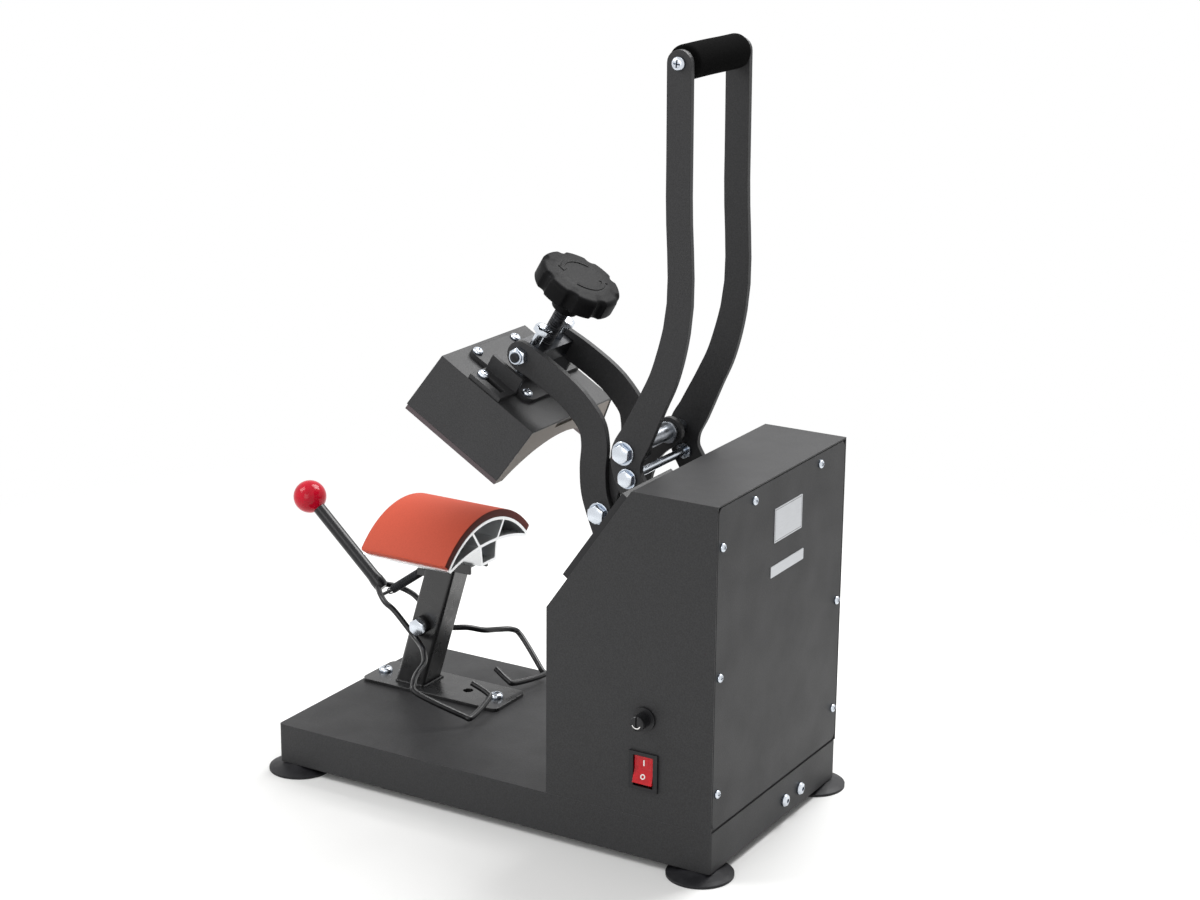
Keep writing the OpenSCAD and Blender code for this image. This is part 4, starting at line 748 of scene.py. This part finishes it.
class PRESS_OT_screws(bpy.types.Operator):
    """Put cross-recessed pan heads wherever the press is screwed together"""
    bl_idname = "press.screws"
    bl_label = "Screws"

    def execute(self, context):
        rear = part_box("back_panel")[1].y
        low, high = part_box("box_shell")
        side = (high.x - low.x) / 2 - 8.5 * MM
        brow = high.z - 10.5 * MM
        back = [(x, rear, low.z + z * MM) for x in (-side, side) for z in (30.5, 124.5)]
        back += [(side, rear, low.z + 227 * MM), (-62 * MM, rear, brow), (50 * MM, rear, brow)]
        low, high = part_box("post")
        x = (low.x + high.x) / 2
        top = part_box("base_tray")[1].z + FOOT_PLATE
        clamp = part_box("clamp_bracket")
        under = clamp[1].z - 2.5 * MM
        posts = [((x, low.y + 9 * MM, top), Z, 12), ((x, high.y - 15 * MM, top), Z, 12),
            ((x, clamp[0].y + 8 * MM, under), -Z, 10), ((x, clamp[1].y - 8 * MM, under), -Z, 10)]
        grip = middle("grip_core")
        ends = [(grip + way * (49 * MM), way, 11) for way in (X, -X)]
        carrier = [(head_place(u, v, -26), HEAD_UP, 9) for u in (-28, 28) for v in (-36, 19)]
        carrier += [(head_place(s * 50.4, -13, -26), HEAD_UP, 10) for s in (-1, 1)]
        groups = [("case_screws", "frame", "back_screws", [(p, Y, 7) for p in back]),
            ("platen_screws", "frame", "post_screws", posts),
            ("grip_end_screws", "handle", "grip_screws", ends),
            ("hood_screws", "head", "head_screws", carrier)]
        template = pan_head()
        for seed, (name, body, node, places) in enumerate(groups):
            mesh = grown(fasteners, [p for p, _, _ in places],
                {"Fastener": template, "Seed": seed, "Finish": finish(zinc_plate)},
                widths=[w * MM for _, _, w in places], facings=[tuple(f) for _, f, _ in places])
            shown(name, mesh, None, body, [node], sharp=30)
        bpy.data.objects.remove(template)
        return {"FINISHED"}


class PRESS_OT_bolts(bpy.types.Operator):
    """Turn the bolts, shafts and nuts of the linkage, with chamfered heads"""
    bl_idname = "press.bolts"
    bl_label = "Bolts and shafts"

    def execute(self, context):
        stop = middle("stop_rod")
        stop.x = HANDLE_PIVOT.x
        bolt_line("shaft_end_bolts", zinc_plate, "handle", ["shaft_bolts"], LINK_SHAFT,
            [(rod, 32, 50.2, 8), (rod, 49, 50.4, 19.5), (hexagon, 50.3, 54.8, 14)])
        bolt_line("handle_pivot_bolts", zinc_plate, "frame", ["handle_pivots"], HANDLE_PIVOT,
            [(rod, 29.5, 49.4, 10), (hexagon, 30.5, 36, 16), (rod, 41, 43.7, 19), (rod, 49.3, 50.8, 17.4),
             (hexagon, 50.7, 55, 12.8)])
        bolt_line("link_joint_bolts", zinc_plate, "arms", ["joint_bolts"], middle("joint_bolts"),
            [(rod, 29, 35.2, 10), (rod, 34, 35.4, 18.4), (hexagon, 35.3, 41, 13.8)])
        bolt_line("head_pivot_nuts", zinc_plate, "arms", ["head_bolts"], HEAD_PIVOT,
            [(rod, 22.3, 41.2, 8), (hexagon, 34, 39.4, 13.2), (rod, 39.3, 41.4, 11.6)])
        bolt_line("head_pivot_studs", black_oxide, "arms", [], HEAD_PIVOT, [(rod, 41, 42.8, 8)])
        bolt_line("arm_pivot_shaft", zinc_plate, "frame", ["arm_shaft"], ARM_PIVOT,
            [(rod, 0, 45, 12), (hexagon, 41, 46.5, 18)])
        bolt_line("link_cross_shaft", ground_steel, "handle", ["link_shaft"], LINK_SHAFT,
            [(rod, 0, 44, 12), (rod, 20, 23.2, 18), (rod, 28.8, 32, 18)])
        bolt_line("stop_cross_rod", zinc_plate, "handle", ["stop_rod"], stop,
            [(rod, 0, 50, 7), (rod, 49, 50.8, 16.6), (hexagon, 50.7, 54, 12.4), (hexagon, 41.5, 44, 11.9)])
        bolt_line("spring_tail_rod", zinc_plate, "arms", ["spring_rod"], middle("spring_rod"),
            [(rod, 0, 34, 8)])
        bolt_line("lever_pivot_bolt", zinc_plate, "frame", ["lever_bolt"], LEVER_PIVOT,
            [(rod, 0, 20.2, 8), (hexagon, 20.1, 25.2, 13.2)])
        return {"FINISHED"}


class PRESS_OT_knob(bpy.types.Operator):
    """Model the lobed pressure knob, its spindle's thread and the two guide bolts"""
    bl_idname = "press.knob"
    bl_label = "Knob, spindle and guide bolts"

    def outline(self, detail, inset):
        """The lobed outline of the knob, drawn in by inset, with soft corners between lobes."""
        points = []
        count = detail.lobes * 26
        half = detail.knob_width / 2
        groove, centre = 7 * MM, half + 4.5 * MM
        for i in range(count):
            angle = math.tau * i / count
            off = (angle * detail.lobes / math.tau) % 1 - 0.5
            swing = off * math.tau / detail.lobes
            bite = groove**2 - (centre * math.sin(swing)) ** 2
            reach = half
            if bite > 0:
                reach = min(half, centre * math.cos(swing) - math.sqrt(bite))
            points.append(((reach - inset) * math.cos(angle), (reach - inset) * math.sin(angle)))
        return points

    def arrow(self, shape, place, start, end, radius, level):
        """A raised arc with a head, which shows the way to turn."""
        steps, half = 22, 1.7 * MM
        heights = (level - 0.4 * MM, level + 0.5 * MM)
        tip = end - math.radians(17)
        def at(angle, r, z):
            return shape.verts.new(place @ Vector((r * math.cos(angle), r * math.sin(angle), z)))
        angles = [start + (tip - start) * i / steps for i in range(steps + 1)]
        for pair in zip(angles, angles[1:]):
            a, b, c, d, e, f, g, h = [at(angle, r, z) for angle in pair
                for r in (radius - half, radius + half) for z in heights]
            for face in ((a, b, d, c), (e, g, h, f), (a, c, g, e), (b, f, h, d), (a, e, f, b), (c, d, h, g)):
                shape.faces.new(face)
        corners = [(tip, radius - 3.8 * MM), (tip, radius + 3.8 * MM), (end, radius)]
        low, high = ([at(angle, r, z) for angle, r in corners] for z in heights)
        shape.faces.new(low)
        shape.faces.new(high)
        for i in range(3):
            j = (i + 1) % 3
            shape.faces.new((low[i], low[j], high[j], high[i]))

    def execute(self, context):
        detail = context.scene.press_detail
        place = Matrix.Translation(HEAD_PIVOT) @ facing(HEAD_UP, X)
        shape = bmesh.new()
        top, low = 75 * MM, 56 * MM
        soft, round_top = 3.2 * MM, 4.5 * MM
        turns = [i / 6 * math.pi / 2 for i in range(7)]
        levels = [(soft * (1 - math.sin(a)), low + soft * (1 - math.cos(a))) for a in turns]
        levels += [(round_top * (1 - math.cos(a)), top - 1.6 * MM - round_top * (1 - math.sin(a)))
            for a in turns]
        rings = [[(x, y, z) for x, y in self.outline(detail, inset)] for inset, z in levels]
        # The top dishes up a little from the lobes to a flat middle
        flat = len(rings[0])
        for share, rise in ((0.8, -0.7), (0.72, -0.25), (0.62, 0.0), (0.3, 0.0)):
            rings.append(circle(detail.knob_width / 2 * share * 0.92, top + rise * MM, flat))
        rings.insert(0, circle(detail.knob_width / 2 * 0.35, low, flat))
        stacked(shape, rings, place)
        hub = [(6.3, 40), (10, 40), (11, 40.6), (11.6, 42), (12.3, 49), (13.5, 52), (16.5, 54.6),
            (21, 56.6)]
        turned(shape, [(r * MM, h * MM) for r, h in hub], place, 64)
        for start in (0.35, math.pi + 0.35):
            self.arrow(shape, place, start, start + 2.2, 18 * MM, top)
        modelled("pressure_knob_body", shape, filled_nylon, "knob", ["pressure_knob"], sharp=50)

        # The thread starts 0.3 mm clear of the carrier under it, so that it turns freely
        base = 26 * MM
        stand = Matrix.Translation(HEAD_PIVOT - HEAD_UP * base + HEAD_UP * 0.3 * MM) @ facing(HEAD_UP, X)
        mesh = grown(screw_thread, [(0, 0, 0)], {"Width": 12 * MM, "Length": 66 * MM,
            "Pitch": detail.thread_pitch, "Finish": finish(black_oxide)}, place=stand)
        shown("spindle_thread", mesh, None, "knob", ["spindle"], sharp=25)

        # The guide bolts have plain shanks, since the crosshead slides on them
        shape = bmesh.new()
        for side in (-1, 1):
            stand = Matrix.Translation(head_place(side * 17.5, 0, -30)) @ facing(HEAD_UP, X)
            rod(shape, stand, 0, 50.2 * MM, 8 * MM)
            hexagon(shape, stand, 50.1 * MM, 55.3 * MM, 12.8 * MM)
            rod(shape, stand, 55.2 * MM, 55.6 * MM, 9 * MM, 0.2 * MM)
        modelled("head_guide_bolts", shape, zinc_plate, "head", ["guide_bolts"])
        return {"FINISHED"}


class PRESS_OT_lever(bpy.types.Operator):
    """Bend the hold-down lever's wires, and fit its rod, ball and ears"""
    bl_idname = "press.lever"
    bl_label = "Hold-down lever"

    # Fork wire on the switch side, in millimetres from the lever's pivot
    FORK = [(4.5, -54, 21), (12, -46, 18), (17.2, -37, 13.5), (17.8, -27, 8), (17.8, -9.5, -8.5),
        (23, 2, -14), (34, 14, -15.5), (46, 23, -20), (63, 27, -24), (76, 33, -27), (80, 40, -33),
        (62, 72, -51.5), (56, 78, -54), (21, 71.5, -51), (16.5, 67, -48), (19, 53, -41)]
    BALL = Vector((0, -129, 89.5))
    FORK_END = Vector((0, -54, 21))

    def execute(self, context):
        detail = context.scene.press_detail
        pieces = []
        for side in (1, -1):
            line = [LEVER_PIVOT + Vector((side * x, y, z)) * MM for x, y, z in self.FORK]
            pieces.append(bar_along("fork_wire", line, detail.lever_wire, black_enamel, "hold_lever"))
        reach = (self.FORK_END - self.BALL).normalized()
        start = LEVER_PIVOT + (self.BALL + reach * 10.5) * MM
        span = (self.FORK_END - self.BALL).length
        stand = Matrix.Translation(start) @ facing(reach, X)
        shape = bmesh.new()
        half = detail.lever_rod / 2
        long = (span - 7.5) * MM
        turned(shape, [(half - 0.4 * MM, 0), (half, 0.4 * MM), (half, long - 14 * MM),
            (half * 1.12, long - 9 * MM), (half * 1.12, long - 3 * MM), (half * 0.8, long)], stand)
        pieces.append(modelled("lever_rod", shape, black_enamel, "hold_lever"))
        for side in (1, -1):
            shape = bmesh.new()
            stand = Matrix.Translation(LEVER_PIVOT) @ facing(X * side, Z)
            rod(shape, stand, 14.5 * MM, 19.8 * MM, 15 * MM, 0.5 * MM)
            pieces.append(modelled("lever_ear", shape, black_enamel, "hold_lever"))
            tip = LEVER_PIVOT + Vector((side * 17.15, -4.75, -4.25)) * MM
            along = Vector((0, -9.5, -8.5)).normalized()
            web = bmesh.new()
            place = Matrix.Translation(tip) @ facing(along, X)
            rings = [[(x * 2.65 * MM, y * wide * MM, z * MM) for x, y in SQUARE]
                for z, wide in ((-5, 6.4), (7, 3.6))]
            stacked(web, rings, place)
            pieces.append(modelled("ear_web", web, black_enamel, "hold_lever"))
        shape = bmesh.new()
        rod(shape, Matrix.Translation(LEVER_PIN) @ facing(X, Z), -13 * MM, 13 * MM, 3 * MM)
        pieces.append(modelled("lever_pin", shape, black_enamel, "hold_lever"))
        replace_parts(joined("hold_lever_frame", pieces), "hold_lever")

        low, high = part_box("lever_ball")
        radius = (high.x - low.x) / 2
        shape = bmesh.new()
        stand = Matrix.Translation(LEVER_PIVOT + self.BALL * MM) @ facing(-reach, X)
        # The ball has a flat where the rod goes in, and is turned about the rod's line
        arc = [math.radians(a) for a in range(-66, 91, 4)]
        profile = [(max(radius * math.cos(a), 0.02 * MM), radius * math.sin(a)) for a in arc]
        turned(shape, profile, stand, 72)
        modelled("lever_ball_turned", shape, phenolic_ball, "hold_lever", ["lever_ball"])
        return {"FINISHED"}


def spring(name, start, end, replaced, maker, wire, width, turns, hook, free, sides, step):
    """A coil with a hook's ring at each end round what it hangs on, wound between points on two bodies and
    carried by neither.
    """
    line = end - start
    low, high = hook + free, line.length - hook - free
    radius = width / 2
    points = [(0, -hook * math.cos(math.radians(a)), -hook * math.sin(math.radians(a)))
        for a in range(-60, 181, 20)]
    points += [(radius * math.sin(math.tau * k / 16), radius * math.cos(math.tau * k / 16),
        low + (high - low) * k / (16 * turns)) for k in range(16 * turns + 1)]
    points += [(0, hook * math.cos(math.radians(a)), line.length + hook * math.sin(math.radians(a)))
        for a in range(0, 241, 20)]
    stand = Matrix.Translation(start) @ facing(line, X)
    made = bar_along(name, [stand @ Vector(p) for p in points], wire, maker, None, replaced, sides, step)
    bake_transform(made)


class PRESS_OT_springs(bpy.types.Operator):
    """Wind the lever's spring and the two return springs, which stretch between their ends"""
    bl_idname = "press.springs"
    bl_label = "Springs"

    def execute(self, context):
        detail = context.scene.press_detail
        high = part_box("lever_spring")[1]
        hung = Vector((LEVER_PIN.x, high.y - 2.85 * MM, high.z - 2.85 * MM))
        spring("lever_spring_coil", LEVER_PIN, hung, ["lever_spring"], black_oxide,
            detail.coil_wire, 6.8 * MM, detail.coil_turns, 2.4 * MM, 2.6 * MM, 8, 0.5 * MM)

        tail = middle("spring_rod")
        tail.x = HANDLE_PIVOT.x
        hook = Vector((HANDLE_PIVOT.x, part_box("spring_bolts")[0].y + 3 * MM, 20.5 * MM))
        for name, side in (("return_spring_right", 1), ("return_spring_left", -1)):
            away = X * (side * 13.5 * MM)
            spring(name, hook + away, tail + away, ["return_springs"], spring_steel,
                detail.return_wire, 11.6 * MM, detail.return_turns, 5.4 * MM, 12 * MM, 10, 1.2 * MM)
        return {"FINISHED"}


class PRESS_OT_pads(bpy.types.Operator):
    """Form the silicone pad and the foam grip"""
    bl_idname = "press.pads"
    bl_label = "Pad and grip"

    def execute(self, context):
        detail = context.scene.press_detail
        low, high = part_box("silicone_pad")
        outer, inner = PAD_RADIUS, PAD_RADIUS - PAD_THICKNESS
        centre = Vector(((low.x + high.x) / 2, 0, high.z - outer))
        mid_y, mid_r = (low.y + high.y) / 2, (outer + inner) / 2
        soft = 0.9 * MM
        # Round the section's corners, then carry it over the arc
        section = []
        for y, r, start in ((high.y - soft, outer - soft, 0), (low.y + soft, outer - soft, 90),
                (low.y + soft, inner + soft, 180), (high.y - soft, inner + soft, 270)):
            for k in range(5):
                a = math.radians(start + 90 * k / 4)
                section.append((y + soft * math.cos(a), r + soft * math.sin(a)))
        shape = bmesh.new()
        rings = []
        for k in range(97):
            a = -PAD_HALF + 2 * PAD_HALF * k / 96
            # The slab's ends are cut square and keep a hint of the blade's roll
            squeeze = soft * 0.5 if k in (0, 96) else 0
            ring = []
            for y, r in section:
                y2 = y - math.copysign(squeeze, y - mid_y)
                r2 = r - math.copysign(squeeze, r - mid_r)
                ring.append((centre.x + r2 * math.sin(a), y2, centre.z + r2 * math.cos(a)))
            rings.append(ring)
        stacked(shape, rings, Matrix())
        pad = modelled("silicone_pad_slab", shape, silicone_rubber, "frame", ["silicone_pad"])

        low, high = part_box("foam_grip")
        half, reach = (high.x - low.x) / 2, detail.grip_width / 2
        bore = 9.1 * MM
        ends = [math.radians(a) for a in range(0, 91, 15)]
        roll = 5 * MM
        right = [(half - roll + roll * math.sin(a), reach - roll + roll * math.cos(a)) for a in ends]
        left = [(-x, r) for x, r in right[::-1]]
        body = [(half * (1 - 2 * k / 20) * 0.93, reach) for k in range(1, 20)]
        outline = [(half, bore), *right[::-1], *body, *left[::-1], (-half, bore)]
        shape = bmesh.new()
        stand = Matrix.Translation(middle("foam_grip")) @ facing(X, Z)
        rows = []
        for x, r in outline:
            # Foam on a tube is never quite true: a slow swell of 0.2 mm
            rows.append([((r + 0.12 * MM * math.sin(3 * math.tau * i / 64 + x * 90) * (r > bore)) *
                math.cos(math.tau * i / 64), r * math.sin(math.tau * i / 64), x) for i in range(64)])
        stacked(shape, rows, stand, hollow=True)
        grip = modelled("foam_grip_sleeve", shape, nitrile_foam, "handle", ["foam_grip"], sharp=60)
        return {"FINISHED"}


class PRESS_OT_controls(bpy.types.Operator):
    """Add the switch's I and O, the fuse cap's mark, the display's segments and the plate's border"""
    bl_idname = "press.controls"
    bl_label = "Switch, fuse, display and plates"

    def tile(self, shape, place, points, low, high):
        """A thin tile from an outline in the tile's own plane."""
        stacked(shape, [[(x, y, z) for x, y in points] for z in (low, high)], place)

    def execute(self, context):
        # The rocker is pressed in at its upper end
        axle = pivot("rocker_tilt")
        turn = Matrix.Rotation(math.radians(-9), 3, "Y")
        shape = bmesh.new()
        half = 11.4 * MM
        for side in (1, -1):
            inner, outer = Vector((7.2 * MM, 0, 0)), Vector((9 * MM, 0, side * half))
            slope = (outer - inner).normalized()
            normal = Vector((slope.z * side, 0, -slope.x * side))
            centre = axle + turn @ (inner * 0.52 + outer * 0.48)
            place = Matrix.Translation(centre) @ facing(turn @ normal, -Y)
            if side == 1:
                w, h = 0.55 * MM, 2.4 * MM
                self.tile(shape, place, [(-w, -h), (w, -h), (w, h), (-w, h)], -0.05 * MM, 0.12 * MM)
            else:
                edges = ((1.25, -0.05), (1.25, 0.12), (2.1, 0.12), (2.1, -0.05))
                stacked(shape, [circle(r * MM, z * MM, 36) for r, z in edges], place, hollow=True)
        modelled("rocker_marks", shape, white_ink, "rocker")

        cap = middle("fuse_cap")
        cap.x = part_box("fuse_cap")[1].x
        place = Matrix.Translation(cap) @ facing(X, Y)
        shape = bmesh.new()
        arc = [math.radians(a) for a in range(200, 341, 7)]
        line = [(3.9 * MM * math.cos(a), 3.9 * MM * math.sin(a)) for a in arc]
        line += [(3.1 * MM * math.cos(a), 3.1 * MM * math.sin(a)) for a in arc[::-1]]
        self.tile(shape, place, line, -0.3 * MM, 0.04 * MM)
        modelled("fuse_cap_mark", shape, white_ink, "fuse_cap")

        # Three unlit figures behind the display window
        normal = Vector((0, -math.sin(PANEL_SLOPE), math.cos(PANEL_SLOPE)))
        face = middle("display_window") + normal * 0.9 * MM
        place = Matrix.Translation(face) @ facing(normal, X)
        shape = bmesh.new()
        w, h, t = 3.4 * MM, 6 * MM, 0.9 * MM
        bars = [((0, y), False) for y in (h, 0, -h)]
        bars += [((x, y), True) for y in (h / 2, -h / 2) for x in (-w, w)]
        for digit in (-1, 0, 1):
            for (x, y), upright in bars:
                long = (h / 2 if upright else w) - t * 0.6
                outline = [(-long, 0), (-long + t / 2, -t / 2), (long - t / 2, -t / 2), (long, 0),
                    (long - t / 2, t / 2), (-long + t / 2, t / 2)]
                if upright:
                    outline = [(-b, a) for a, b in outline]
                moved = [(digit * 13 * MM + x + a + (y + b) * 0.1, y + b) for a, b in outline]
                self.tile(shape, place, moved, -0.1 * MM, 0.03 * MM)
        modelled("display_figures", shape, display_segments, "frame")

        # A dark border on the bare plate
        shape = bmesh.new()
        left, right, bottom, top = -31 * MM, 16 * MM, 246 * MM, 273.5 * MM
        swapped = Matrix((X, Z, Y)).to_4x4()
        place = Matrix.Translation(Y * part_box("blank_plates")[1].y) @ swapped
        e, g = 1.1 * MM, 0.35 * MM
        for x0, y0, x1, y1 in ((left + e, bottom + e, right - e, bottom + e + g),
                (left + e, top - e - g, right - e, top - e), (left + e, bottom + e, left + e + g, top - e),
                (right - e - g, bottom + e, right - e, top - e)):
            self.tile(shape, place, [(x0, y0), (x1, y0), (x1, y1), (x0, y1)], -0.1 * MM, 0.03 * MM)
        modelled("plate_border", shape, black_abs, "frame")
        return {"FINISHED"}


class PRESS_OT_welds(bpy.types.Operator):
    """Lay the weld bead round the post's foot"""
    bl_idname = "press.welds"
    bl_label = "Welds"

    def execute(self, context):
        detail = context.scene.press_detail
        low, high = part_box("post")
        x = (low.x + high.x) / 2
        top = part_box("base_tray")[1].z + FOOT_PLATE
        # The post leans back, so its foot is longer front to rear
        half_x, half_y = 14 * MM, 14 * MM / math.cos(POST_LEAN)
        clamp_low, clamp_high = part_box("clamp_bracket")
        rise = clamp_low.z - top
        mid = (clamp_low.y + clamp_high.y) / 2 + 3.6 * MM - rise * math.tan(POST_LEAN)
        corners = [(half_x * u, half_y * v) for u, v in ((1, 1), (-1, 1), (-1, -1), (1, -1), (1, 1))]
        points = []
        for (ax, ay), (bx, by) in zip(corners, corners[1:]):
            for k in range(14):
                t = k / 14
                ripple = 0.35 * MM * math.sin(len(points) * 2.4)
                points.append((x + (ax + (bx - ax) * t) + ripple, mid + ay + (by - ay) * t + ripple,
                    top + 0.4 * MM))
        bar_along("post_weld", points, detail.weld_width * 0.6, powder_coat, "frame", sides=10,
            step=1.2 * MM)
        return {"FINISHED"}


class PRESS_OT_stage(bpy.types.Operator):
    """Set the pale floor, the soft lamps and the camera at the photograph's view"""
    bl_idname = "press.stage"
    bl_label = "Floor, lamps and camera"

    def seen(self, tree):
        """1 for what the camera, a mirror or glass sees, and 0 for what lights the press."""
        path = add(tree, "ShaderNodeLightPath").outputs
        direct = add(tree, "ShaderNodeMath", {0: path["Is Camera Ray"], 1: path["Is Glossy Ray"]},
            operation="MAXIMUM").outputs[0]
        return add(tree, "ShaderNodeMath", {0: direct, 1: path["Is Transmission Ray"]},
            operation="MAXIMUM").outputs[0]

    def execute(self, context):
        studio = context.scene.press_studio
        made, tree, shader = surface("studio_floor", studio.floor, 0.75, Specular_IOR_Level=0.2)
        # Away from the press the floor turns into the white of the background
        place = add(tree, "ShaderNodeTexCoord").outputs["Object"]
        away = add(tree, "ShaderNodeVectorMath", {0: place}, operation="LENGTH").outputs["Value"]
        fade = add(tree, "ShaderNodeMapRange", {"Value": away, "From Min": 0.3, "From Max": 0.95},
            interpolation_type="SMOOTHSTEP").outputs["Result"]
        fade = add(tree, "ShaderNodeMath", {0: fade, 1: self.seen(tree)}, operation="MULTIPLY").outputs[0]
        glow = add(tree, "ShaderNodeEmission", {"Color": (1, 1, 1, 1), "Strength": 1.0}).outputs[0]
        mixed = add(tree, "ShaderNodeMixShader", {0: fade, 1: shader.outputs[0], 2: glow}).outputs[0]
        tree.links.new(mixed, tree.nodes["Material Output"].inputs["Surface"])
        shape = bmesh.new()
        bmesh.ops.create_grid(shape, x_segments=1, y_segments=1, size=6)
        mesh = bpy.data.meshes.new("studio_floor")
        shape.to_mesh(mesh)
        shape.free()
        mesh.materials.append(made)
        floor = bpy.data.objects.new("studio_floor", mesh)
        context.scene.collection.objects.link(floor)

        world = bpy.data.worlds.new("studio")
        context.scene.world = world
        world.use_nodes = True
        tree = world.node_tree
        tree.nodes.clear()
        soft = add(tree, "ShaderNodeBackground", {"Color": (1, 1, 1, 1), "Strength": 0.5}).outputs[0]
        white = add(tree, "ShaderNodeBackground", {"Color": (1, 1, 1, 1), "Strength": 1.0}).outputs[0]
        mixed = add(tree, "ShaderNodeMixShader", {0: self.seen(tree), 1: soft, 2: white}).outputs[0]
        add(tree, "ShaderNodeOutputWorld", {"Surface": mixed})

        aim = Vector((0, 0.02, 0.28))
        for name, place, size, power in (("key_lamp", (0.7, -1.1, 1.4), 0.8, 15),
                ("top_lamp", (-0.9, 0.3, 1.6), 1.0, 34), ("fill_lamp", (1.8, 0.1, 0.8), 1.0, 7)):
            lamp = bpy.data.lights.new(name, "AREA")
            lamp.shape, lamp.size, lamp.energy = "SQUARE", size, power
            made = bpy.data.objects.new(name, lamp)
            made.matrix_world = Matrix.Translation(place) @ facing(Vector(place) - aim, Z)
            context.scene.collection.objects.link(made)

        level = math.cos(studio.elevation)
        back = Vector((level * math.sin(studio.azimuth), -level * math.cos(studio.azimuth),
            math.sin(studio.elevation)))
        right = Vector((math.cos(studio.azimuth), math.sin(studio.azimuth), 0))
        up = back.cross(right)
        rolled = right * math.cos(studio.roll) + up * math.sin(studio.roll)
        camera = bpy.data.cameras.new("camera")
        camera.lens, camera.sensor_width, camera.sensor_fit = studio.lens, 36, "HORIZONTAL"
        camera.clip_start, camera.clip_end = 0.05, 50
        made = bpy.data.objects.new("camera", camera)
        turned_to = Matrix((rolled, back.cross(rolled), back)).transposed().to_4x4()
        made.matrix_world = Matrix.Translation(Vector(studio.eye)) @ turned_to
        context.scene.collection.objects.link(made)
        context.scene.camera = made
        context.scene.view_settings.view_transform = "Standard"
        return {"FINISHED"}


class PRESS_PT_panel(bpy.types.Panel):
    bl_idname = "PRESS_PT_panel"
    bl_label = "Cap heat press"
    bl_space_type = "VIEW_3D"
    bl_region_type = "UI"
    bl_category = "Press"

    def draw(self, context):
        for group in (context.scene.press_finish, context.scene.press_detail, context.scene.press_studio):
            box = self.layout.box()
            for name in group.__annotations__:
                box.prop(group, name)
        for operator in OPERATORS:
            self.layout.operator(operator.bl_idname)


GROUPS = {"press_finish": PressFinish, "press_detail": PressDetail, "press_studio": PressStudio}
OPERATORS = (PRESS_OT_finishes, PRESS_OT_screws, PRESS_OT_bolts, PRESS_OT_knob, PRESS_OT_lever,
    PRESS_OT_springs, PRESS_OT_pads, PRESS_OT_controls, PRESS_OT_welds, PRESS_OT_stage)


def register():
    for kind in (*GROUPS.values(), *OPERATORS, PRESS_PT_panel):
        bpy.utils.register_class(kind)
    for name, kind in GROUPS.items():
        setattr(bpy.types.Scene, name, PointerProperty(type=kind))


def unregister():
    for name in GROUPS:
        delattr(bpy.types.Scene, name)
    for kind in (PRESS_PT_panel, *OPERATORS[::-1], *GROUPS.values()):
        bpy.utils.unregister_class(kind)


def main():
    register()
    for operator in OPERATORS:
        getattr(bpy.ops.press, operator.bl_idname.split(".")[1])()


if __name__ == "__main__":
    main()
